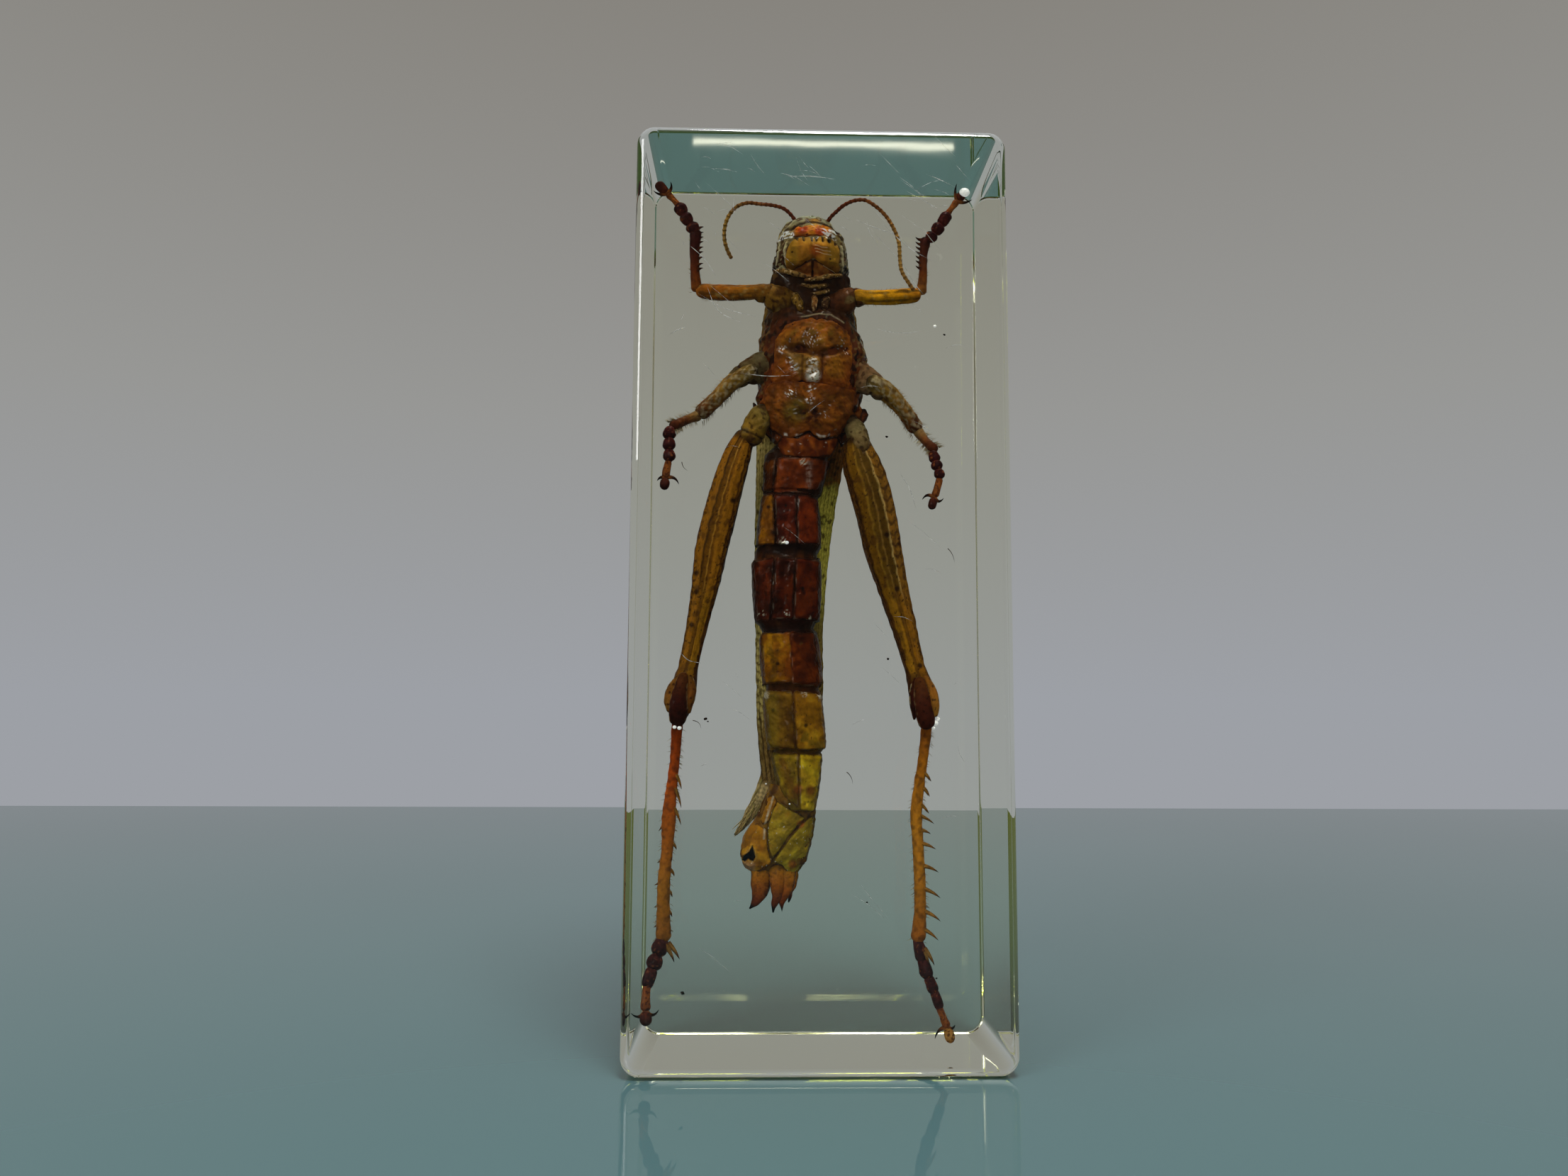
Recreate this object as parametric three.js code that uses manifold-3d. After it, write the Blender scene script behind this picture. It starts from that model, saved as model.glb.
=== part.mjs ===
// A large female grasshopper, belly forward and head up, cast in a clear resin block.
// The block is parted in two on its middle plane, so that the insect lies in a pocket.
//
// Frame: X across the block, Y from its front face to its back face, Z up.
// Origin: the middle of the base. All lengths are millimetres.

import * as THREE from 'three';
import { ConvexGeometry } from 'three/addons/geometries/ConvexGeometry.js';
import { mergeVertices } from 'three/addons/utils/BufferGeometryUtils.js';
import Module from 'manifold-3d';

const wasm = await Module();
wasm.setup();

// ---------------------------------------------------------------- driving dimensions

const BLOCK_WIDTH = 44.5;
const BLOCK_DEPTH = 26;
const BLOCK_HEIGHT = 110;
const BLOCK_DRAFT = 0.9; // the sides and the top draw in by this much towards the back
const CORNER_RADIUS = 2.2; // of the outline, seen from the front
const EDGE_RADIUS = 1.2; // of the rounded edges of the front and back faces

const POCKET_GAP = 0.45; // air between the insect and the wall of its pocket
const POCKET_MOUTH = 0.5; // how far a pocket's tool runs past the parting plane

const BODY_FLATNESS = 0.8; // below 1, a trunk ring is squarer than an oval
const SEGMENT_LAP = 0.35; // how far an abdomen ring stands over the next one
const SPINE_RADIUS = 0.22; // a leg spine, at its root
const CLAW_RADIUS = 0.2; // a claw, at its root
const THORN_SIDES = 4;
const LUMP_SIDES = 8;
const LUMP_ROWS = 5;
const BODY_SIDES = 12;

const CORNER_STEPS = 4; // straight runs in each round corner of the block
const EDGE_STEPS = 2; // and in each rounded edge

// ---------------------------------------------------------------- shapes

const FAR = new THREE.Vector3(0, 1, 0); // the insect's back is on this side
const vector = ([x, y, z]) => new THREE.Vector3(x, y, z);

// The frame of each ring in a row of stations: across it, and towards the insect's back.
function ringFrames(stations) {
  const centres = stations.map(vector);
  return centres.map((centre, i) => {
    const along = centres[Math.min(i + 1, centres.length - 1)].clone();
    along.sub(centres[Math.max(i - 1, 0)]).normalize();
    const across = new THREE.Vector3().crossVectors(along, FAR).normalize();
    const back = new THREE.Vector3().crossVectors(across, along).normalize();
    return { centre, along, across, back };
  });
}

// One point of an oval ring. A station is [x, y, z, half width, front, back]: the ring's
// centre, half its width, and how far it stands out to the insect's belly and back.
function ringPoint(frame, station, angle, flatness, grow) {
  const [, , , half, front, back = front] = station;
  const round = (value) => Math.sign(value) * Math.abs(value) ** flatness;
  const depth = Math.sin(angle) > 0 ? back : front;
  return frame.centre.clone()
    .addScaledVector(frame.across, round(Math.cos(angle)) * (half + grow))
    .addScaledVector(frame.back, round(Math.sin(angle)) * (depth + grow));
}

// A closed skin through a row of rings. It starts from a sphere, whose rows of points
// are moved onto the rings and whose poles are moved to the middles of the end rings.
function skin(stations, around, flatness = 1) {
  const frames = ringFrames(stations);
  const rows = stations.length + 1;
  const geometry = new THREE.SphereGeometry(1, around, rows);
  const position = geometry.attributes.position;
  for (let i = 0; i < position.count; i += 1) {
    const row = Math.floor(i / (around + 1));
    const angle = ((i % (around + 1)) % around) / around * 2 * Math.PI;
    const ring = THREE.MathUtils.clamp(row - 1, 0, stations.length - 1);
    let point = ringPoint(frames[ring], stations[ring], angle, flatness, 0);
    if (row === 0 || row === rows) point = frames[ring].centre;
    position.setXYZ(i, point.x, point.y, point.z);
  }
  return geometry;
}

// A cone from its root to its tip, for a spine or a claw.
function thorn([root, tip], radius) {
  const from = vector(root);
  const way = vector(tip).sub(from);
  const cone = new THREE.ConeGeometry(radius, way.length(), THORN_SIDES);
  cone.translate(0, way.length() / 2, 0);
  cone.applyQuaternion(new THREE.Quaternion().setFromUnitVectors(FAR, way.clone().normalize()));
  return cone.translate(from.x, from.y, from.z);
}

// An egg-shaped lump with its half sizes along X, Y and Z.
function lump([x, y, z], [halfX, halfY, halfZ]) {
  return new THREE.SphereGeometry(1, LUMP_SIDES, LUMP_ROWS).scale(halfX, halfY, halfZ).translate(x, y, z);
}

// A closed three.js geometry as a solid that can be joined and cut.
function solid(geometry) {
  const plain = geometry.clone();
  plain.deleteAttribute('normal');
  plain.deleteAttribute('uv');
  const merged = mergeVertices(plain);
  return new wasm.Manifold(new wasm.Mesh({
    numProp: 3,
    vertProperties: new Float32Array(merged.attributes.position.array),
    triVerts: new Uint32Array(merged.index.array),
  }));
}

const joined = (geometries) => geometries.map(solid).reduce((sum, next) => sum.add(next));

function geometryOf(manifold) {
  const mesh = manifold.getMesh();
  const geometry = new THREE.BufferGeometry();
  geometry.setAttribute('position', new THREE.BufferAttribute(mesh.vertProperties, 3));
  geometry.setIndex(new THREE.BufferAttribute(mesh.triVerts, 1));
  return geometry;
}

// ---------------------------------------------------------------- the insect's parts

const forms = []; // the solids that grow together into the insect
const recesses = []; // clouds of points, each the corners of one stretch of the pocket

const RECESS_SIDES = 6;
const RECESS_GROWTH = 1 / Math.cos(Math.PI / RECESS_SIDES); // so that the flats clear the ring
const OCTANTS = [-1, 1].flatMap((x) => [-1, 1].flatMap((y) => [-1, 1].map((z) => [x, y, z])));

function newRecess() {
  recesses.push([]);
  return recesses.at(-1);
}

function boxAround(centre, reach) {
  return OCTANTS.map((octant) => vector(octant).multiplyScalar(reach).add(vector(centre)));
}

// The corners of the pocket around one ring, moved along the row by the given step.
function recessRing(frame, station, flatness, step) {
  const wide = station.map((value, k) => (k < 3 ? value : value * RECESS_GROWTH));
  return Array.from({ length: RECESS_SIDES }, (_, side) => {
    const angle = side / RECESS_SIDES * 2 * Math.PI;
    return ringPoint(frame, wide, angle, flatness, POCKET_GAP).addScaledVector(frame.along, step);
  });
}

// Adds a skin with its thorns, and the pocket around it. The pocket is one cloud that it
// shares with its neighbours (into), or a new cloud for each stretch of stations.
function grow(stations, options = {}) {
  const { around = 6, flatness = 1, stretch = stations.length, into } = options;
  const { thorns = [], thornRadius = SPINE_RADIUS } = options;
  forms.push(skin(stations, around, flatness));
  forms.push(...thorns.map((points) => thorn(points, thornRadius)));
  const frames = ringFrames(stations);
  for (let first = 0; first < stations.length - 1; first += stretch) {
    const last = Math.min(first + stretch, stations.length - 1);
    const cloud = into ?? newRecess();
    for (let i = first; i <= last; i += 1) {
      const step = (i === last ? POCKET_GAP : 0) - (i === first ? POCKET_GAP : 0);
      cloud.push(...recessRing(frames[i], stations[i], flatness, step));
    }
    const [low, high] = [stations[first][2], stations[last][2]].sort((a, b) => a - b);
    for (const [root, tip] of thorns) {
      if (root[2] > high + SPINE_RADIUS || root[2] < low - SPINE_RADIUS) continue;
      cloud.push(...boxAround(root, SPINE_RADIUS), ...boxAround(tip, POCKET_GAP * 0.8));
    }
  }
}

// Adds an egg-shaped lump, in a pocket that it shares with its neighbours.
function growLump(centre, halves, into) {
  forms.push(lump(centre, halves));
  into.push(...OCTANTS.map((octant) => vector(octant).multiply(vector(halves)).add(vector(centre))));
}

// ---------------------------------------------------------------- trunk

const chestRecess = newRecess();

// Neck and thorax, head end first: [x, y, z, half width, belly, back].
grow([
  [-0.9, 0, 97.0, 3.6, 2.2, 5.2],
  [-1.0, 0, 94.6, 4.9, 3.6, 6.0],
  [-1.0, 0, 91.8, 5.0, 3.7, 6.4],
  [-1.0, 0, 90.0, 5.3, 4.1, 6.7],
  [-1.0, 0, 88.2, 5.6, 5.2, 6.9],
  [-1.0, 0, 86.0, 6.3, 5.6, 6.9],
  [-0.8, 0, 83.4, 6.8, 5.7, 6.6],
  [-1.0, 0, 80.4, 6.5, 5.6, 6.2],
  [-1.2, 0, 77.8, 6.3, 5.4, 5.8],
  [-1.4, 0, 75.4, 5.4, 5.2, 5.4],
  [-1.5, 0, 73.8, 4.4, 4.9, 5.2],
], { around: BODY_SIDES, flatness: BODY_FLATNESS, into: chestRecess });

// The abdomen's rings, head end first: [top z, bottom z, left and right x at the top,
// left and right x at the bottom, belly]. The rings telescope, each over the next.
const ABDOMEN_RINGS = [
  [74.6, 71.6, -5.0, 1.9, -4.8, 1.7, 4.7],
  [71.6, 66.9, -6.6, 1.4, -6.8, 0.4, 4.4],
  [66.9, 60.0, -6.9, 0.0, -7.7, 0.5, 4.4],
  [58.9, 50.7, -8.2, 0.5, -7.7, 0.3, 4.5],
  [49.9, 43.4, -7.2, -0.1, -6.7, 0.7, 4.2],
  [42.7, 35.6, -6.7, 0.4, -6.0, 1.1, 4.0],
  [35.3, 28.4, -5.7, 0.7, -4.2, -0.1, 3.8],
];
const ABDOMEN_BACK = 4.4;

// A station on one abdomen ring, a share t of the way down it, drawn in by the inset.
function abdomenStation([top, bottom, leftTop, rightTop, leftBottom, rightBottom, belly], t, inset) {
  const left = THREE.MathUtils.lerp(leftTop, leftBottom, t) + inset;
  const right = THREE.MathUtils.lerp(rightTop, rightBottom, t) - inset;
  const z = THREE.MathUtils.lerp(top, bottom, t);
  return [(left + right) / 2, 0, z, (right - left) / 2, belly - inset, ABDOMEN_BACK - inset];
}

const abdomen = ABDOMEN_RINGS.flatMap((ring) => [
  abdomenStation(ring, 0.02, SEGMENT_LAP),
  abdomenStation(ring, 0.14, 0),
  abdomenStation(ring, 0.55, -SEGMENT_LAP / 2),
  abdomenStation(ring, 0.97, 0),
]);
const shoulder = [-1.5, 0, 76.0, 3.4, 4.4, 4.0]; // inside the thorax
grow([shoulder, ...abdomen], { around: BODY_SIDES, flatness: BODY_FLATNESS, stretch: 14 });

// The last segments turn to the left: the plate under the ovipositor, the side plate
// and the lobe beside it.
const tailRecess = newRecess();
const TAIL_PLATES = [
  [[-2.4, 0, 29.6, 2.3, 3.2, 3.6], [-2.0, -0.2, 27.0, 1.9, 3.2, 3.6],
    [-2.6, -0.2, 23.6, 1.8, 2.9, 3.0], [-3.4, 0, 20.8, 1.1, 1.9, 2.2]],
  [[-4.2, 0, 29.6, 1.7, 3.1, 3.6], [-4.4, -0.2, 26.4, 1.9, 3.1, 3.6],
    [-5.6, 0, 23.0, 1.9, 2.7, 3.0], [-6.3, 0, 21.4, 1.2, 1.9, 2.2]],
  [[-6.6, 0.2, 26.4, 1.2, 2.0, 2.6], [-7.6, 0.2, 24.2, 1.5, 2.3, 2.6], [-8.2, 0.2, 21.9, 1.2, 1.7, 2.0]],
];
TAIL_PLATES.forEach((plate) => grow(plate, { into: tailRecess }));

// Four ovipositor valves, each a hooked finger that ends in a point.
const VALVES = [
  [[-7.1, -0.6, 22.2, 0.9, 0.9], [-7.2, -0.8, 19.6, 0.9, 0.9],
    [-7.3, -0.9, 18.0, 0.6, 0.6], [-7.9, -0.9, 16.8, 0.1, 0.1]],
  [[-5.3, -1.0, 21.8, 0.7, 0.8], [-5.1, -1.3, 19.4, 0.6, 0.8],
    [-5.1, -1.3, 17.8, 0.4, 0.5], [-5.1, -1.2, 16.4, 0.1, 0.1]],
  [[-3.7, -0.8, 21.2, 0.8, 0.8], [-3.2, -1.0, 19.3, 0.6, 0.8],
    [-3.6, -1.0, 17.5, 0.4, 0.5], [-4.0, -0.9, 16.3, 0.1, 0.1]],
  [[-5.4, 1.0, 21.8, 1.2, 0.8], [-5.6, 1.3, 19.4, 0.9, 0.7],
    [-5.9, 1.4, 17.8, 0.5, 0.5], [-6.1, 1.3, 17.0, 0.1, 0.1]],
];
VALVES.forEach((valve) => grow(valve, { around: 4, into: tailRecess }));

// ---------------------------------------------------------------- head

const headRecess = newRecess();
grow([
  [-0.8, 0.6, 102.5, 1.0, 1.4, 1.6],
  [-0.9, 0.4, 101.7, 2.6, 3.2, 3.0],
  [-1.0, 0, 100.3, 3.8, 4.8, 4.4],
  [-1.0, 0, 98.9, 4.1, 5.5, 4.9],
  [-0.9, 0, 97.0, 4.5, 5.7, 5.2],
  [-1.0, 0, 95.2, 4.7, 5.2, 5.3],
  [-1.0, 0, 93.8, 4.0, 4.0, 5.0],
], { around: BODY_SIDES, flatness: 0.9, into: headRecess });

const EYE_HALVES = [1.2, 1.9, 1.7];
growLump([-4.3, 1.8, 99.4], EYE_HALVES, headRecess);
growLump([2.4, 1.8, 99.4], EYE_HALVES, headRecess);
growLump([-0.8, 1.6, 102.3], [0.9, 1.4, 0.6], headRecess); // the fastigium, between the antennae

// The feelers by the mouth, two on each side.
const PALPS = [
  [[-4.2, -3.4, 95.4, 0.4, 0.4], [-3.0, -5.0, 94.2, 0.35, 0.35], [-1.2, -5.6, 93.6, 0.25, 0.25]],
  [[2.2, -3.4, 95.2, 0.4, 0.4], [1.0, -5.0, 94.0, 0.35, 0.35], [-0.6, -5.6, 93.2, 0.25, 0.25]],
];
PALPS.forEach((palp) => grow(palp, { around: 5, into: headRecess }));

const ANTENNA_RADIUS = 0.24;
const ANTENNAE = [
  [[-2.3, -0.2, 101.2], [-3.2, -1.4, 102.0], [-4.2, -2.2, 102.7], [-5.6, -3, 102.9], [-7.5, -3, 103.1],
    [-9.0, -3, 103.2], [-10.3, -3, 102.7], [-11.3, -2.6, 101.6], [-11.8, -2.2, 100.1], [-11.8, -1.8, 98.7],
    [-11.4, -1.4, 97.4], [-10.9, -1, 96.5]],
  [[0.6, -0.2, 101.2], [1.2, -1.4, 101.7], [2.1, -2.2, 102.4], [3.1, -3, 103.1], [4.3, -3.3, 103.6],
    [5.6, -3.4, 103.7], [7.0, -3.5, 102.9], [8.3, -3.6, 101.6], [9.3, -3.7, 99.9], [9.9, -3.8, 98.1],
    [10.0, -4, 96.1], [10.2, -4.2, 94.4], [11.0, -4.4, 92.9], [11.7, -4.6, 91.8]],
];
ANTENNAE.forEach((points) => {
  grow(points.map((point) => [...point, ANTENNA_RADIUS, ANTENNA_RADIUS]), { around: 4, stretch: 4 });
});

// ---------------------------------------------------------------- pronotum and wings

// The shield over the thorax, with its lengthwise crest.
grow([
  [-1.0, 2.6, 95.6, 4.9, 1.8, 3.8],
  [-1.0, 2.6, 92.0, 5.5, 2.2, 4.6],
  [-1.0, 2.6, 87.0, 6.1, 2.2, 4.9],
  [-1.0, 2.9, 82.0, 5.6, 2.0, 4.4],
  [-1.0, 3.6, 78.0, 2.8, 1.6, 3.1],
], { around: 10, flatness: 0.85, into: chestRecess });
grow([
  [-1.0, 6.0, 95.4, 0.4, 1.0, 0.9],
  [-1.0, 6.8, 90.5, 0.5, 1.0, 1.6],
  [-1.0, 6.8, 84.0, 0.5, 1.0, 1.4],
  [-1.0, 6.0, 78.6, 0.4, 1.0, 0.9],
], { around: 5, into: chestRecess });

// The wings, folded as a roof over the back of the abdomen, frayed to a point.
grow([
  [-1.0, 3.6, 85.0, 5.6, 2.2, 2.8],
  [-1.6, 3.8, 77.0, 5.9, 2.4, 2.8],
  [-2.3, 3.8, 70.0, 5.3, 2.6, 2.8],
  [-3.1, 3.8, 60.0, 4.6, 2.6, 2.6],
  [-3.4, 3.8, 50.0, 4.2, 2.6, 2.4],
  [-3.5, 3.7, 40.0, 4.1, 2.4, 2.2],
  [-4.4, 3.5, 32.0, 3.1, 1.9, 1.7],
  [-6.6, 3.3, 28.6, 1.9, 1.2, 1.1],
  [-9.1, 3.2, 25.6, 0.4, 0.5, 0.5],
], { around: 10, flatness: 0.9, stretch: 5 });

// ---------------------------------------------------------------- legs

// Each leg has a hip, a thigh (which ends in the knee on a hind leg), a shin with its
// spines and a foot. A foot has three lobes, a slim last joint and a pad, with two claws
// at the pad's root. Foot stations are nearly round: [x, y, z, half width].

// Spines in a row on a shin: [root x, root z, tip x, tip z], at one depth, leaning by the lift.
const spineRow = (y, lift, rows) => rows.map(([rootX, rootZ, tipX, tipZ]) => (
  [[rootX, y, rootZ], [tipX, y + lift, tipZ]]
));

// Short even spines on the inner side of a fore shin.
const foreSpines = (rootX, tipX, heights) => heights.map((z) => [[rootX, -2.1, z], [tipX, -2.4, z + 0.3]]);

const leftForeLeg = {
  hip: [[-4.0, -3.0, 90.6, 1.5, 1.5], [-4.8, -3.7, 91.8, 1.8, 1.7], [-6.2, -3.6, 92.0, 1.2, 1.2]],
  thigh: [[-5.6, -3.5, 91.9, 0.9, 0.9], [-8.4, -3.1, 91.7, 0.9, 1.0],
    [-12.0, -2.3, 91.8, 1.0, 1.1], [-15.3, -1.5, 92.2, 0.9, 0.9]],
  shin: [[-15.2, -1.5, 92.0, 0.7, 0.7], [-15.4, -1.7, 94.0, 0.55, 0.6],
    [-15.5, -2, 97.4, 0.55, 0.6], [-15.4, -2.2, 100.0, 0.7, 0.7]],
  spines: foreSpines(-15.2, -14.4, [95.3, 96.7, 98.1, 99.4]),
  foot: [[-15.4, -2.2, 99.6, 0.6], [-16.1, -2.4, 100.3, 0.7], [-16.9, -2.5, 101.3, 0.65],
    [-17.5, -2.5, 102.2, 0.6], [-18.0, -2.5, 102.9, 0.35], [-19.2, -2.5, 104.4, 0.42],
    [-20.1, -2.3, 105.5, 0.34]],
  claws: [[-18.7, -3, 105.3], [-20.6, -3, 104.3]],
};

const rightForeLeg = {
  hip: [[2.6, -3.0, 90.2, 1.5, 1.5], [3.2, -3.7, 91.3, 1.8, 1.7], [4.6, -3.6, 91.4, 1.2, 1.2]],
  thigh: [[4.0, -3.5, 91.3, 0.9, 0.9], [7.0, -2.9, 91.3, 0.9, 1.0],
    [9.8, -2.2, 91.6, 0.95, 1.1], [12.8, -1.5, 92.1, 0.9, 0.9]],
  shin: [[12.8, -1.5, 92.0, 0.7, 0.7], [13.05, -1.7, 94.0, 0.55, 0.6],
    [13.15, -2, 97.4, 0.55, 0.6], [13.5, -2.2, 99.4, 0.7, 0.7]],
  spines: foreSpines(12.9, 12.1, [95.3, 96.6, 97.8, 99.0]),
  foot: [[13.4, -2.2, 99.0, 0.6], [14.1, -2.4, 100.0, 0.7], [14.9, -2.5, 101.0, 0.65],
    [15.7, -2.5, 102.0, 0.6], [16.1, -2.5, 102.7, 0.35], [17.2, -2.5, 104.2, 0.42],
    [17.9, -2.4, 105.0, 0.34]],
  claws: [[17.2, -3, 105.4], [18.8, -3, 103.8]],
};

const leftMiddleLeg = {
  hip: [[-4.9, -2.8, 82.2, 1.6, 1.6], [-6.6, -4.0, 82.1, 1.7, 1.6], [-8.2, -4.0, 81.8, 1.2, 1.2]],
  thigh: [[-7.6, -3.9, 81.9, 0.9, 1.0], [-10.5, -2.8, 80.4, 1.0, 1.2],
    [-12.6, -1.4, 78.5, 0.95, 1.1], [-15.0, 0, 76.5, 1.0, 1.0]],
  shin: [[-14.7, 0, 76.7, 0.7, 0.7], [-16.2, -2.0, 75.7, 0.55, 0.55], [-17.9, -4.8, 74.4, 0.65, 0.65]],
  spines: [],
  foot: [[-17.8, -4.8, 74.6, 0.55], [-18.1, -5.1, 73.0, 0.62], [-18.2, -5.2, 71.7, 0.6],
    [-18.1, -5.3, 70.6, 0.45], [-18.4, -5.3, 69.8, 0.32], [-18.4, -5.4, 68.4, 0.42],
    [-18.5, -5.5, 66.9, 0.34]],
  claws: [[-16.9, -5.6, 67.4], [-19.2, -5.6, 67.2]],
};

const rightMiddleLeg = {
  hip: [[3.4, -2.8, 81.2, 1.6, 1.6], [5.0, -4.0, 81.0, 1.7, 1.6], [6.4, -4.0, 80.4, 1.2, 1.2]],
  thigh: [[5.8, -3.9, 80.8, 0.9, 1.0], [8.0, -3.0, 79.6, 1.2, 1.2],
    [10.2, -1.8, 77.7, 1.0, 1.1], [12.6, 0, 74.8, 1.0, 1.0]],
  shin: [[12.4, 0, 75.0, 0.7, 0.7], [13.2, -2.4, 73.3, 0.55, 0.55], [14.1, -4.8, 71.8, 0.65, 0.65]],
  spines: [],
  foot: [[14.0, -4.8, 72.0, 0.55], [14.2, -5.1, 70.6, 0.6], [14.4, -5.2, 69.2, 0.58],
    [14.4, -5.3, 68.4, 0.5], [14.2, -5.3, 67.6, 0.32], [13.9, -5.4, 66.2, 0.4],
    [13.5, -5.5, 64.8, 0.32]],
  claws: [[12.3, -5.6, 65.8], [14.8, -5.6, 65.9]],
};

const leftHindLeg = {
  hip: [[-6.0, -2.6, 77.6, 1.8, 1.9], [-7.8, -3.4, 76.2, 1.9, 1.9], [-8.9, -2.9, 74.0, 1.5, 1.7]],
  thigh: [
    [-8.7, -2.9, 74.4, 1.1, 1.3], [-9.9, -2.2, 71.5, 1.6, 2.4], [-11.0, -1.7, 68.0, 1.85, 3.1],
    [-11.9, -1.3, 64.6, 1.95, 3.1], [-13.0, -0.8, 60.0, 1.95, 2.7], [-13.8, -0.4, 55.0, 1.6, 2.0],
    [-14.8, -0.1, 50.0, 1.25, 1.5], [-15.7, 0, 45.5, 1.2, 1.4], [-16.4, 0, 42.0, 1.6, 1.8],
    [-16.8, 0, 38.9, 0.9, 1.1]],
  shin: [
    [-16.9, 0, 39.4, 0.7, 0.8], [-17.2, 0, 34.0, 0.6, 0.75], [-17.6, 0, 30.0, 0.7, 0.8],
    [-17.8, -0.2, 27.0, 0.85, 0.9], [-17.9, -0.4, 24.0, 0.7, 0.8], [-18.2, -0.8, 20.0, 0.75, 0.85],
    [-18.2, -1.1, 16.0, 0.8, 0.9], [-18.1, -1.4, 13.0, 0.95, 1.0]],
  spines: [
    ...spineRow(-0.4, -0.3, [
      [-17.0, 32.5, -16.3, 30.8], [-17.1, 30.9, -16.3, 28.6], [-17.2, 28.6, -16.3, 26.6],
      [-17.3, 24.4, -16.8, 23.7], [-17.5, 21.3, -17.0, 20.6], [-17.7, 18.9, -17.2, 18.2],
      [-17.7, 16.6, -17.2, 15.9]]),
    ...spineRow(-0.4, 0.5, [
      [-18.2, 27.3, -19.0, 25.8], [-18.3, 22.8, -19.1, 22.1], [-18.4, 20.2, -19.4, 19.5],
      [-18.5, 17.7, -19.4, 16.9], [-18.6, 15.4, -19.4, 14.6]]),
  ],
  foot: [[-18.2, -1.4, 13.2, 0.8], [-18.8, -1.8, 11.6, 0.85], [-19.3, -2.3, 10.2, 0.75],
    [-19.7, -2.6, 9.0, 0.65], [-19.9, -3.0, 8.0, 0.32], [-19.8, -3.4, 6.2, 0.45],
    [-19.8, -3.6, 4.8, 0.36]],
  claws: [[-18.5, -4, 6.0], [-20.8, -4, 5.8]],
};

const RIGHT_SHIN_SPINES = [
  [12.9, 32.8, 13.7, 31.8], [12.8, 31.0, 13.5, 30.0], [12.5, 29.0, 13.4, 28.0],
  [12.4, 27.7, 14.0, 26.8], [12.4, 26.0, 13.6, 25.6], [12.6, 24.4, 14.2, 23.8],
  [12.7, 21.8, 14.5, 21.1], [12.8, 19.1, 14.7, 18.1], [12.8, 16.5, 14.7, 15.4],
  [12.7, 14.4, 14.4, 13.2]];

const rightHindLeg = {
  hip: [[3.0, -2.6, 77.0, 1.8, 1.9], [4.4, -3.4, 75.9, 1.9, 1.9], [4.8, -2.9, 73.4, 1.6, 1.7]],
  thigh: [
    [4.4, -2.9, 74.2, 1.2, 1.4], [5.0, -2.2, 71.4, 2.1, 2.4], [6.1, -1.7, 68.0, 2.45, 3.0],
    [7.0, -1.3, 64.8, 2.4, 3.0], [8.0, -0.8, 60.0, 2.25, 2.6], [9.3, -0.4, 55.0, 1.8, 2.0],
    [10.7, -0.1, 50.0, 1.45, 1.5], [11.9, 0, 45.5, 1.25, 1.4], [12.9, 0, 42.0, 1.6, 1.8],
    [13.4, 0, 38.9, 0.9, 1.1]],
  shin: [
    [13.4, 0, 39.4, 0.7, 0.8], [12.9, 0, 35.0, 0.6, 0.75], [12.3, 0, 31.0, 0.65, 0.75],
    [11.95, 0, 28.3, 0.7, 0.8], [12.1, 0, 25.0, 0.68, 0.8], [12.3, 0, 20.0, 0.7, 0.8],
    [12.3, 0, 16.0, 0.75, 0.9], [12.0, 0, 12.8, 0.95, 1.0]],
  spines: [...spineRow(-0.4, -0.3, RIGHT_SHIN_SPINES), ...spineRow(0.4, 0.8, RIGHT_SHIN_SPINES)],
  foot: [[12.1, 0, 12.8, 0.75], [11.9, 0, 11.2, 0.7], [12.6, 0, 9.4, 0.8], [13.4, 0, 7.8, 0.65],
    [14.1, 0, 6.4, 0.6], [14.7, 0, 5.0, 0.32], [15.1, 0, 3.4, 0.45], [15.4, 0, 1.9, 0.36]],
  claws: [[13.8, -0.4, 2.3], [15.9, -0.4, 3.5]],
};

const THIGH_SIDES = 7;
const SHIN_SIDES = 6;
const FOOT_SIDES = 5;

function growLeg({ hip, thigh, shin, spines, foot, claws }) {
  grow(hip, { into: chestRecess });
  grow(thigh, { around: THIGH_SIDES, stretch: 5 });
  grow(shin, { around: SHIN_SIDES, stretch: 4, thorns: spines });
  const clawRoot = foot.at(-2).slice(0, 3);
  grow(foot.map(([x, y, z, half]) => [x, y, z, half, half]), {
    around: FOOT_SIDES,
    thorns: claws.map((tip) => [clawRoot, tip]),
    thornRadius: CLAW_RADIUS,
    into: newRecess(),
  });
}

[leftForeLeg, rightForeLeg, leftMiddleLeg, rightMiddleLeg, leftHindLeg, rightHindLeg].forEach(growLeg);

// ---------------------------------------------------------------- the resin block

// The corners of one outline of the block, seen from the front: a rectangle with round
// corners. It shrinks by the inset all round and by the draft at the sides and the top.
function blockOutline(y, inset) {
  const draft = BLOCK_DRAFT * (y / BLOCK_DEPTH + 0.5);
  const halfWidth = BLOCK_WIDTH / 2 - draft - inset;
  const outline = new THREE.Path();
  const radius = CORNER_RADIUS - inset;
  const [left, right] = [-halfWidth + radius, halfWidth - radius];
  const [low, high] = [inset + radius, BLOCK_HEIGHT - draft - inset - radius];
  outline.absarc(right, low, radius, -Math.PI / 2, 0);
  outline.absarc(right, high, radius, 0, Math.PI / 2);
  outline.absarc(left, high, radius, Math.PI / 2, Math.PI);
  outline.absarc(left, low, radius, Math.PI, 1.5 * Math.PI);
  return outline.getPoints(CORNER_STEPS).map((point) => new THREE.Vector3(point.x, y, point.y));
}

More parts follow.
